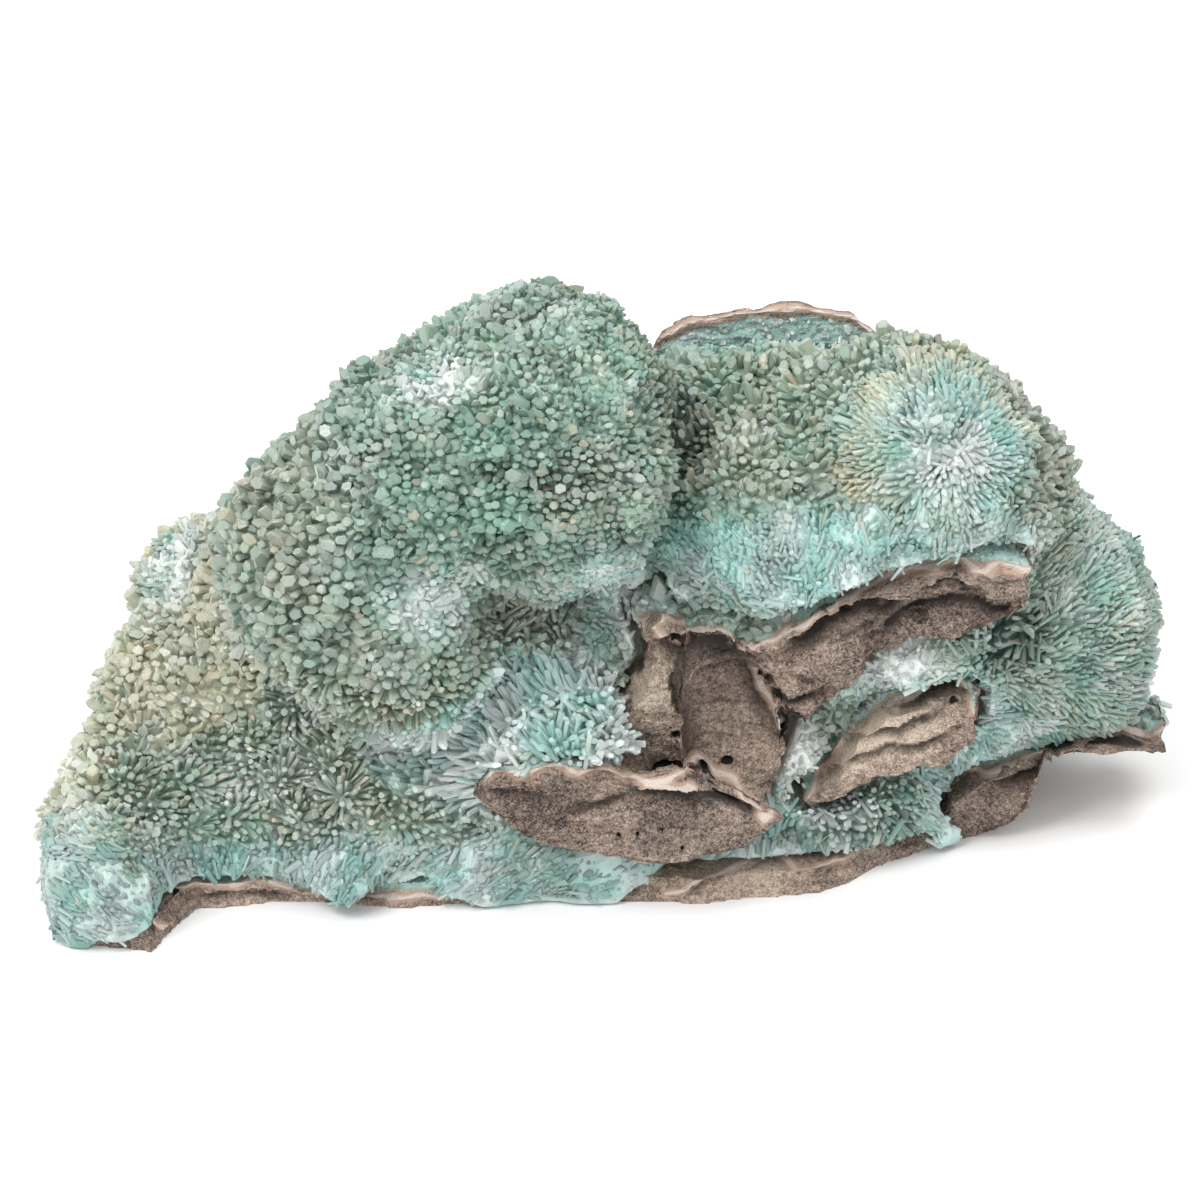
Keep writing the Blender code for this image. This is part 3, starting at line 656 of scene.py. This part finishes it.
def thinned(points, gap, rng):
    """Indices of points kept so that none is nearer than a gap to another."""
    cells = {}
    kept = []
    keys = np.floor(points / gap).astype(int)
    around = [(x, y, z) for x in (-1, 0, 1) for y in (-1, 0, 1) for z in (-1, 0, 1)]
    listed = points.tolist()
    for index in rng.permutation(len(points)).tolist():
        kx, ky, kz = keys[index]
        px, py, pz = listed[index]
        crowded = False
        for dx, dy, dz in around:
            other = cells.get((kx + dx, ky + dy, kz + dz))
            if other is None:
                continue
            qx, qy, qz = listed[other]
            if (px - qx) ** 2 + (py - qy) ** 2 + (pz - qz) ** 2 < gap * gap:
                crowded = True
                break
        if not crowded:
            cells[(kx, ky, kz)] = index
            kept.append(index)
    return np.array(kept, dtype=int)


def growing_ways(zone, habit, places, normals, rng):
    """Directions of growth: away from the nearest dome, or lying down and fanning out."""
    to_dome = places[:, None, :] - DOMES[None, :, :3]
    off = np.abs(np.linalg.norm(to_dome, axis=2) - DOMES[None, :, 3])
    nearest = off.argmin(axis=1)
    radial = unit(to_dome[np.arange(len(places)), nearest])
    facing = (radial * normals).sum(axis=1, keepdims=True)
    outward = radial * DOME_PULL + normals * (1.0 - DOME_PULL)
    upright = unit(np.where(facing > 0.3, outward, normals))
    away = places - np.array(zone.focus)
    flat = away - normals * (away * normals).sum(axis=1, keepdims=True)
    lying = unit(unit(flat) + normals * LYING_LIFT)
    lie = habit.lie[:, None]
    ways = upright * (1.0 - lie) + lying * lie
    return unit(ways + rng.normal(0.0, 1.0, ways.shape) * habit.stray[:, None])


def bunched(points, centres, across):
    """How near each point is to the seam between two groups (0 to 1), its lean away from its own
    group's middle, and the group's number."""
    seam = np.zeros(len(points))
    lean = np.zeros((len(points), 3))
    own = np.zeros(len(points), dtype=int)
    for start in range(0, len(points), 2000):
        part = slice(start, start + 2000)
        away = np.linalg.norm(points[part, None, :] - centres[None], axis=2)
        order = np.argpartition(away, 1, axis=1)[:, :2]
        near = np.take_along_axis(away, order, axis=1)
        swap = near[:, 0] > near[:, 1]
        order[swap] = order[swap][:, ::-1]
        near.sort(axis=1)
        seam[part] = np.clip(1.0 - (near[:, 1] - near[:, 0]) / (SEAM_WIDTH * across), 0.0, 1.0)
        own[part] = order[:, 0]
        lean[part] = (points[part] - centres[order[:, 0]]) / across
    return seam, lean, own


def crystal_mesh(name, roots, ways, lengths, widths, root_share, colours, rng):
    """One mesh of many crystals: uneven prisms with a bevelled shoulder and a slanted end."""
    count = len(roots)
    helper = np.where(np.abs(ways[:, 2:3]) < 0.9, [[0.0, 0.0, 1.0]], [[1.0, 0.0, 0.0]])
    across = unit(np.cross(ways, helper))
    aside = np.cross(ways, across)
    spin = rng.random((count, 1)) * math.tau
    even = spin + np.arange(SIDES)[None, :] * math.tau / SIDES
    angles = even + rng.normal(0, UNEVEN_CORNERS, (count, SIDES))
    flatness = rng.uniform(*FLATNESS, (count, 1))
    ring = (across[:, None, :] * np.cos(angles)[:, :, None]
            + aside[:, None, :] * (np.sin(angles) * flatness)[:, :, None])
    half = widths / 2.0
    slant_way = rng.random((count, 1)) * math.tau
    slant = np.cos(angles - slant_way) * rng.uniform(*END_SLANT, (count, 1)) * half[:, None]
    bevel = (rng.uniform(*END_BEVEL, count) * widths)[:, None, None]
    ring = ring * half[:, None, None]
    top = roots[:, None, :] + ways[:, None, :] * (lengths[:, None, None] + slant[:, :, None])
    levels = [
        (roots[:, None, :] + ring * ROOT_WIDTH, root_share),
        (top - ways[:, None, :] * bevel + ring, SHOULDER_SHARE),
        (top + ring * rng.uniform(*END_WIDTH, (count, 1, 1)), 1.0),
    ]
    places = np.concatenate([level for level, _ in levels], axis=1).reshape(-1, 3)
    places[:, 2] = np.maximum(places[:, 2], 0.0)
    along = np.stack([np.zeros(count) + share for _, share in levels], axis=1)
    along = np.repeat(along, SIDES, axis=1).ravel()
    start = np.arange(count)[:, None] * SIDES * len(levels)
    corner = np.arange(SIDES)
    after = (corner + 1) % SIDES
    faces = []
    for low in (0, SIDES):
        quad = [low + corner, low + after, low + SIDES + after, low + SIDES + corner]
        faces += (start[:, :, None] + np.stack(quad, axis=1)[None]).reshape(-1, 4).tolist()
    faces += (start + (2 * SIDES + corner)[None]).tolist()
    mesh = bpy.data.meshes.new(name)
    mesh.from_pydata(places.tolist(), [], faces)
    per_crystal = {"along": along}
    for key, values in colours.items():
        per_crystal[key] = np.repeat(values, SIDES * len(levels))
    each_way = np.repeat(ways, SIDES * len(levels), axis=0)
    store(mesh, {key: np.clip(values, 0.0, 1.0) for key, values in per_crystal.items()})
    run = each_way * (places * each_way).sum(axis=1, keepdims=True)
    store_flow(mesh, (places - run * STREAK_LENGTHENING) / MM)
    return mesh


def store(mesh, values):
    """Keeps numbers on a mesh's vertices."""
    for key, numbers in values.items():
        stored = mesh.attributes.new(key, "FLOAT", "POINT")
        stored.data.foreach_set("value", np.asarray(numbers, dtype=np.float32))


def store_flow(mesh, vectors):
    """Keeps the places that streaks are drawn by, squeezed along the crystals."""
    stored = mesh.attributes.new("flow", "FLOAT_VECTOR", "POINT")
    stored.data.foreach_set("vector", vectors.astype(np.float32).ravel())


def joined_mesh(name, meshes):
    """Several meshes with the same attributes as one."""
    bm = bmesh.new()
    for mesh in meshes:
        bm.from_mesh(mesh)
    whole = bpy.data.meshes.new(name)
    bm.to_mesh(whole)
    bm.free()
    return whole


def crust_skin(voxel):
    """The crust's outer skin, smoothed over its coarse crystals, and hung over some edges."""
    mesh = remade(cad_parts["aragonite_crust"].data, "skin", voxel, 8)
    places, _ = mesh_arrays(mesh)
    table = places / MM - TABLE_ZERO
    places += moved(table, OVERHANGS) * MM
    places[:, 2] = np.maximum(places[:, 2], 0.4 * MM)
    mesh.vertices.foreach_set("co", places.ravel())
    return mesh


def zone_numbers(places):
    """The zone that holds each place, with uneven borders."""
    waves = [layered_noise(places, WANDER_LENGTH, seed) for seed in (51, 52, 53)]
    return zones_at(places + np.stack(waves, axis=1) * WANDER)


def zones_at(places):
    """The first zone that holds each place."""
    numbers = np.full(len(places), -1)
    for index, zone in enumerate(ZONES):
        numbers[in_zone(zone, places) & (numbers < 0)] = index
    return numbers


def blended_habits(places, numbers, rng):
    """Each place's habit, softened towards the zones around it."""
    table = np.array([HABITS[zone.habit] for zone in ZONES])
    total = table[numbers] * 2.0
    for _ in range(BLEND_STEPS):
        total += table[zones_at(places + rng.normal(0.0, BLEND_REACH, places.shape))]
    return Habit(*(total / (BLEND_STEPS + 2.0)).T)


def clear_of_stone(points, normals, tree):
    """Which points of the skin are on open crust, and not in the gap beside the stone or below."""
    clear = np.ones(len(points), dtype=bool)
    for i, (point, normal) in enumerate(zip(points.tolist(), normals.tolist())):
        if point[2] < 1.2 * MM and normal[2] < -0.3:
            clear[i] = False
            continue
        place = tree.ray_cast(Vector(point), Vector(normal), OPEN_ROOM)[0]
        clear[i] = place is None
    return clear


def from_stone(points, tree):
    """Distance in millimetres of each point from the stone."""
    return np.array([tree.find_nearest(Vector(point))[3] for point in points.tolist()]) / MM


def crusted(stone, table, seen, normals):
    """How far crust has grown over each place of a stone: behind its upper rims, or, where it has
    none, on its front and under its first rim."""
    if stone.tops:
        above = seen[:, 1] - edge_height(stone.rims[:stone.tops], seen[:, 0])
        return np.clip(2.0 * above - 1.4, 0.0, 1.0) * (above < 14.0) * (normals[:, 2] > 0.1)
    below = edge_height(stone.rims[:1], seen[:, 0]) - seen[:, 1]
    front = (normals[:, 1] < -0.1) & (table[:, 1] < BACK_MIDDLE)
    return np.clip(2.0 * below - 3.2, 0.0, 1.0) * (below < 30.0) * front


def stone_tops(rng):
    """Points and normals on the faces of the stone that crust has grown over."""
    points, facing = [], []
    for name, stone in STONES.items():
        mesh = sculpted_stone(name, stone)
        places, triangles = mesh_arrays(mesh)
        some, ways = scattered(places, triangles, vertex_normals(mesh), STONE_PLACES, rng)
        table = some / MM - TABLE_ZERO
        grown = crusted(stone, table, from_front(table), ways) > 0.5
        points.append(some[grown])
        facing.append(ways[grown])
    return np.vstack(points), np.vstack(facing)


def zone_colours(zone, habit, places, rng, spread):
    """Blue, warm and pale shares of points in one zone."""
    count = len(places)
    drift = layered_noise(places, 22.0, 3)
    grain = layered_noise(places, 7.0, 9)
    blue = habit.blue + 0.12 * drift + rng.normal(0, 0.5 * spread, count)
    warm = habit.warm + 0.18 * grain + rng.normal(0, spread, count)
    pale = habit.pale + 0.10 * drift + rng.normal(0, spread, count)
    if zone.habit == "rosette":
        off = np.linalg.norm(places - np.array(zone.focus), axis=1)
        outer = np.clip((off - ROSETTE_HEART) / ROSETTE_EDGE, 0.0, 1.0)
        blue = blue + 0.35 * (1.0 - outer) - 0.3 * outer
        warm = warm + 0.45 * outer * (grain > -0.2)
        pale = pale + 0.6 * np.clip(1.25 - off / ROSETTE_WHITE, 0.0, 1.0) - 0.15
    sea = 0.5 + 1.1 * layered_noise(places, 26.0, 71, 2)
    cloud = 0.5 + 1.0 * layered_noise(places, 5.5, 73)
    return {"blue": blue, "warm": warm, "pale": pale, "sea": sea, "cloud": cloud}


def grow_zone(zone, points, normals, habit, centres, near_stone, settings, rng):
    """The crystals of one zone, from points on the skin."""
    count = len(points)
    places = points / MM - TABLE_ZERO
    seam, lean, own = bunched(points, centres, settings.bunching)
    ways = growing_ways(zone, habit, places, normals, rng)
    ways = unit(ways + lean * habit.bunch[:, None] * BUNCH_LEAN)
    bold = rng.random(count) < BOLD_SHARE
    widths = habit.width * settings.width * rng.lognormal(0.0, WIDTH_SPREAD, count)
    widths = widths * (1.0 + 0.45 * bold)
    reach = habit.reach * settings.reach * (rng.uniform(*REACH_RANGE, count) + 0.3 * bold)
    bunch = np.minimum(1.0, habit.bunch)
    reach = reach + 0.6 * np.exp(-near_stone)
    reach = reach * (1.0 - SEAM_LOSS * seam * bunch) + 0.4 * value_noise(places, 5.0, 8) * bunch
    depth = np.minimum(habit.depth, 1.6 + 0.7 * near_stone)
    sunk = np.where(habit.lie > FIBROUS, 0.5 * np.exp(-near_stone / 1.5), 0.4)
    roots = points - ways * depth[:, None] * MM - normals * sunk[:, None] * MM
    lengths = depth + reach
    colours = zone_colours(zone, habit, places, rng, 0.08)
    group_tint = np.random.default_rng(5).random(len(centres))[own]
    strays = TONE_SPREAD * (group_tint - 0.5) + TONE_SPREAD * (rng.random(count) - 0.5)
    # Painted shade: crystals along the seams between bunches are darkened, as in the valleys between
    # groups.
    colours["tint"] = habit.tone + strays - 0.15 * seam * bunch
    colours["warm"] = colours["warm"] + 0.5 * (rng.random(count) < 0.05)
    colours["pale"] = colours["pale"] + 0.4 * np.exp(-near_stone / PALE_BESIDE_STONE)
    return crystal_mesh(
        zone.piece, roots, ways, lengths * MM, widths * MM, habit.root, colours, rng)


class ARAGONITE_OT_crystals(bpy.types.Operator):
    """Grow the crystals and fibres of the crust"""

    bl_idname = "aragonite.crystals"
    bl_label = "Crystals"

    def execute(self, context):
        settings = context.scene.aragonite_crystals
        rng = np.random.default_rng(SEED)
        skin = crust_skin(GROWTH_GRID)
        places, triangles = mesh_arrays(skin)
        normals = vertex_normals(skin)
        tree = stone_tree()
        points, facing = scattered(places, triangles, normals, CRUST_PLACES, rng)
        tops, tops_facing = stone_tops(rng)
        on_skin = np.arange(len(points) + len(tops)) < len(points)
        points, facing = np.vstack([points, tops]), np.vstack([facing, tops_facing])
        centres = points[thinned(points, settings.bunching, rng)]
        zone_of = zone_numbers(points / MM - TABLE_ZERO)
        material = aragonite_material("aragonite_crystal", settings, CRYSTAL_CLEAR)
        grown = {}
        for index, zone in enumerate(ZONES):
            mine = np.flatnonzero(zone_of == index)
            if len(mine) == 0:
                raise RuntimeError(f"zone {index} {zone.habit} touches no crust")
            gap = HABITS[zone.habit].gap * MM
            bare, planted = mine[on_skin[mine]], mine[~on_skin[mine]]
            kept = bare[thinned(points[bare], gap, rng)]
            kept = kept[clear_of_stone(points[kept], facing[kept], tree)]
            if len(planted):
                kept = np.concatenate([kept, planted[thinned(points[planted], gap, rng)]])
            near_stone = from_stone(points[kept], tree)
            habit = blended_habits(points[kept] / MM - TABLE_ZERO, zone_of[kept], rng)
            mesh = grow_zone(
                zone, points[kept], facing[kept], habit, centres, near_stone, settings, rng)
            grown.setdefault(zone.piece, []).append(mesh)
        for name, meshes in grown.items():
            piece(name, joined_mesh(name, meshes), material, "aragonite_crust")
        return {"FINISHED"}


class ARAGONITE_OT_core(bpy.types.Operator):
    """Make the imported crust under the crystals"""

    bl_idname = "aragonite.core"
    bl_label = "Crust core"

    def execute(self, context):
        settings = context.scene.aragonite_crystals
        mesh = crust_skin(CORE_GRID)
        places, _ = mesh_arrays(mesh)
        normals = vertex_normals(mesh)
        table = places / MM - TABLE_ZERO
        near = from_stone(places, stone_tree())
        zone_of = zone_numbers(table)
        flow = table.copy()
        names = ("blue", "warm", "pale", "sea", "cloud")
        colours = {key: np.zeros(len(table)) for key in names}
        rng = np.random.default_rng(SEED)
        habit = blended_habits(table, zone_of, rng)
        for index, zone in enumerate(ZONES):
            mine = zone_of == index
            own = Habit(*[values[mine] for values in habit])
            for key, values in zone_colours(zone, own, table[mine], rng, 0.0).items():
                colours[key][mine] = values
            if HABITS[zone.habit].lie > FIBROUS:
                away = table[mine] - np.array(zone.focus)
                far = np.linalg.norm(away, axis=1, keepdims=True)
                flow[mine] = away / far * (45.0 + 0.12 * far)
        colours["pale"] = colours["pale"] + 0.3 * np.exp(-near / PALE_BESIDE_STONE)
        # The core between the crystals takes the roots' dark teal, partly painted shade in the gaps.
        colours["along"] = habit.root
        colours["tint"] = habit.tone + 0.25 * layered_noise(table, 4.0, 61)
        open_share = np.clip((near - 0.5) / 3.5, 0.0, 1.0) * np.clip(table[:, 2] / 4.0, 0.0, 1.0)
        fibres = value_noise(flow, 1.3, 23) * habit.lie
        rough = layered_noise(table, 3.0, 21) * 0.45 + fibres * 0.4
        out = normals * ((rough - habit.bed) * open_share)[:, None]
        mesh.vertices.foreach_set("co", (places + out * MM).ravel())
        store(mesh, {key: np.clip(values, 0.0, 1.0) for key, values in colours.items()})
        store_flow(mesh, flow)
        material = aragonite_material("aragonite_core", settings, 0.0)
        piece("crust_core", mesh, material, "aragonite_crust")
        return {"FINISHED"}


def from_front(table):
    """Places as seen from the front and 30 degrees above: across and up."""
    up = table[:, 2] * SEEN_HEIGHT + table[:, 1] * SEEN_DEPTH
    return np.stack([table[:, 0], up], axis=1)


def edge_height(lines, across):
    """Height, as seen from the front, of the lines at each place across, or NO_LINE."""
    height = np.full(len(across), NO_LINE)
    for line in lines:
        points = np.array(line, dtype=float)
        inside = (across > points[0, 0] - 0.5) & (across < points[-1, 0] + 0.5)
        height[inside] = np.interp(across[inside], points[:, 0], points[:, 1])
    return height


def moved(table, moves):
    """Shifts of places in millimetres, full in a stretch's middle and nothing at its edge."""
    shifts = np.zeros(table.shape)
    for middle, half, shift in moves:
        off = (((table - np.array(middle)) / np.array(half)) ** 2).sum(axis=1)
        shifts += np.clip(1.5 * (1.0 - off), 0.0, 1.0)[:, None] * np.array(shift)
    return shifts


def near_line(seen, line):
    """Distance of each place to a bent line, and whether it is on its right-hand side."""
    best = np.full(len(seen), 1e9)
    right = np.zeros(len(seen), dtype=bool)
    points = np.array(line, dtype=float)
    for start, end in zip(points, points[1:]):
        run = end - start
        away = seen - start
        share = np.clip((away @ run) / (run @ run), 0.0, 1.0)
        far = np.linalg.norm(away - share[:, None] * run, axis=1)
        nearer = far < best
        best[nearer] = far[nearer]
        right[nearer] = (run[0] * away[:, 1] - run[1] * away[:, 0])[nearer] < 0.0
    return best, right


def undercut_share(seen, line, width):
    """How far each place lies under a sharp edge: 1 just below it, 0 beyond the hollow's width."""
    far, right = near_line(seen, line)
    ends = np.minimum(
        np.linalg.norm(seen - line[0], axis=1), np.linalg.norm(seen - line[-1], axis=1))
    return right * np.clip(1.4 - 1.4 * far / width, 0.0, 1.0) * np.clip(ends / 1.5, 0.0, 1.0)


def broken_layers(table):
    """Relief of broken layered sandstone: steps between layers, and rough faces."""
    height = table[:, 2] + table[:, 0] * LAYER_TILT + LAYER_WAVES * layered_noise(table, 16.0, 31)
    layer = np.floor(height / LAYER)
    across = np.stack([table[:, 0], layer * 37.0, table[:, 1] * 0.3], axis=1)
    steps = value_noise(across, 7.0, 32) * 0.9
    return steps + layered_noise(table, 4.5, 33, 4) * 0.35


def sculpted_stone(name, stone):
    """A sandstone piece over its node: broken layers, raised rims, undercuts and holes, with painted
    shade for the undercuts and holes.
    """
    mesh = remade(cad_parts[name].data, name + "_stone", stone.detail * MM)
    places, _ = mesh_arrays(mesh)
    normals = vertex_normals(mesh)
    table = places / MM - TABLE_ZERO
    table += moved(table, stone.moves)
    places = (table + TABLE_ZERO) * MM
    seen = from_front(table)
    seen = seen + np.stack([layered_noise(table, 3.5, seed) for seed in (41, 42)], axis=1) * 0.55
    facing = np.clip((normals @ np.array([0.0, -SEEN_HEIGHT, SEEN_DEPTH])) * 2.5, 0.0, 1.0)
    floor = np.clip(table[:, 2] / 1.5, 0.0, 1.0)
    rim = np.full(len(table), 30.0)
    for line in stone.rims:
        rim = np.minimum(rim, near_line(seen, line)[0])
    cut = np.zeros(len(table))
    for depth, width, line in stone.undercuts:
        cut = np.maximum(cut, depth * undercut_share(seen, line, width + 0.5 * depth))
    deep = seen + np.stack([np.zeros(len(table)), 0.5 * cut * facing], axis=1)
    # Painted shade, darkest just under each undercut's sharp edge, fading across its hollow, fuller
    # for deeper undercuts.
    soot = np.zeros(len(table))
    for depth, width, line in stone.undercuts:
        share = undercut_share(deep, line, 0.8 * width)
        soot = np.maximum(soot, min(1.0, depth / BLACK_DEPTH) * share)
    # Holes are cut into the stone, and near their middles the front faces are also painted black as
    # shade.
    pit = np.full(len(table), 9.0)
    for across, up, radius in stone.holes:
        off = np.linalg.norm(seen - np.array([across, up]), axis=1) / radius
        cut = cut + 2.2 * radius * np.clip(1.6 - off, 0.0, 1.0)
        pit = np.minimum(pit, off)
    # Lighter or darker stretches: partly the stone's own tone, partly painted shade in hollows.
    tone = np.full(len(table), 0.42)
    for across, up, radius, change in stone.tones:
        off = np.linalg.norm(deep - np.array([across, up]), axis=1) / radius
        tone += change * np.exp(-off ** 2)
    lip = LIP_HEIGHT * np.exp(-(rim / LIP_WIDTH) ** 2)
    relief = broken_layers(table) * (1.0 - 0.7 * np.exp(-rim / 1.2)) - 0.6
    out = normals * (relief + lip * 0.6)[:, None]
    out[:, 1] += (cut - lip * 0.8) * facing
    places = places + out * (floor * MM)[:, None]
    if stone.underside:
        edge = edge_height([stone.underside], seen[:, 0])
        below = np.where(edge < NO_LINE, edge - seen[:, 1], 0.0)
        places[:, 2] += np.maximum(0.0, below) / SEEN_HEIGHT * MM
    places[:, 2] = np.maximum(places[:, 2], 0.0)
    mesh.vertices.foreach_set("co", places.ravel())
    store(mesh, {
        "rim": np.clip(rim / 10.0, 0.0, 1.0) + (1.0 - facing), "tone": tone, "soot": soot,
        "pit": np.where(facing > 0.2, pit, 9.0), "crust": crusted(stone, table, seen, normals),
    })
    return mesh


class ARAGONITE_OT_sandstone(bpy.types.Operator):
    """Sculpt the sandstone base, back and ribs"""

    bl_idname = "aragonite.sandstone"
    bl_label = "Sandstone"

    def execute(self, context):
        material = sandstone_material(context.scene.aragonite_sandstone)
        for name, stone in STONES.items():
            piece(name + "_stone", sculpted_stone(name, stone), material, name)
        return {"FINISHED"}


class ARAGONITE_OT_stage(bpy.types.Operator):
    """Set the camera, the pale floor and the soft lights"""

    bl_idname = "aragonite.stage"
    bl_label = "Stage"

    def execute(self, context):
        settings = context.scene.aragonite_stage
        scene = context.scene
        aim = Vector((TABLE_ZERO[0] * MM, TABLE_ZERO[1] * MM, settings.aim_height))
        back = Vector((0.0, -math.cos(settings.elevation), math.sin(settings.elevation)))
        camera = bpy.data.cameras.new("camera")
        camera.sensor_width = 36.0
        camera.lens = camera.sensor_width * settings.distance / settings.view_width
        camera.clip_start = 0.01
        holder = bpy.data.objects.new("camera", camera)
        holder.location = aim + back * settings.distance
        holder.rotation_euler = (-back).to_track_quat("-Z", "Y").to_euler()
        scene.collection.objects.link(holder)
        scene.camera = holder
        scene.view_settings.view_transform = "Standard"
        self.lay_floor(scene)
        self.hang_lights(scene, settings)
        return {"FINISHED"}

    def lay_floor(self, scene):
        """A wide pale floor."""
        bm = bmesh.new()
        bmesh.ops.create_grid(bm, x_segments=1, y_segments=1, size=FLOOR_WIDTH)
        mesh = bpy.data.meshes.new("floor")
        bm.to_mesh(mesh)
        bm.free()
        mesh.materials.append(stage_material("pale_floor", FLOOR_TONE))
        floor = bpy.data.objects.new("floor", mesh)
        scene.collection.objects.link(floor)

    def hang_lights(self, scene, settings):
        """A bright room, a large key light above on the left and a weaker fill."""
        world = bpy.data.worlds.new("room")
        world.use_nodes = True
        background = world.node_tree.nodes["Background"]
        background.inputs["Color"].default_value = (1.0, 1.0, 1.0, 1.0)
        background.inputs["Strength"].default_value = ROOM_LIGHT
        scene.world = world
        for name, (place, size, share) in LIGHTS.items():
            light = bpy.data.lights.new(name, "AREA")
            light.shape = "DISK"
            light.size = size
            light.energy = settings.key_light * share
            lamp = bpy.data.objects.new(name, light)
            lamp.location = place
            towards = Vector((-place[0], -place[1], LIT_HEIGHT - place[2]))
            lamp.rotation_euler = towards.to_track_quat("-Z", "Y").to_euler()
            scene.collection.objects.link(lamp)


class ARAGONITE_PT_panel(bpy.types.Panel):
    """Lists the steps that dress the specimen"""

    bl_idname = "ARAGONITE_PT_panel"
    bl_label = "Blue aragonite"
    bl_space_type = "VIEW_3D"
    bl_region_type = "UI"
    bl_category = "Aragonite"

    def draw(self, context):
        for step in STEPS:
            self.layout.operator(step.bl_idname)
        for name, kind in GROUPS.items():
            box = self.layout.box()
            for key in kind.__annotations__:
                box.prop(getattr(context.scene, name), key)


STEPS = (
    ARAGONITE_OT_core, ARAGONITE_OT_crystals, ARAGONITE_OT_sandstone, ARAGONITE_OT_stage,
)
GROUPS = {
    "aragonite_crystals": AragoniteSettings,
    "aragonite_sandstone": SandstoneSettings,
    "aragonite_stage": StageSettings,
}


def register():
    """Adds the classes and the scene's settings."""
    for kind in (*GROUPS.values(), *STEPS, ARAGONITE_PT_panel):
        bpy.utils.register_class(kind)
    for name, kind in GROUPS.items():
        setattr(bpy.types.Scene, name, PointerProperty(type=kind))


def unregister():
    """Takes them away again."""
    for name in GROUPS:
        delattr(bpy.types.Scene, name)
    for kind in (ARAGONITE_PT_panel, *reversed(STEPS), *reversed(GROUPS.values())):
        bpy.utils.unregister_class(kind)


def main():
    """Dresses the specimen."""
    register()
    bpy.ops.aragonite.core()
    bpy.ops.aragonite.crystals()
    bpy.ops.aragonite.sandstone()
    bpy.ops.aragonite.stage()


if __name__ == "__main__":
    main()
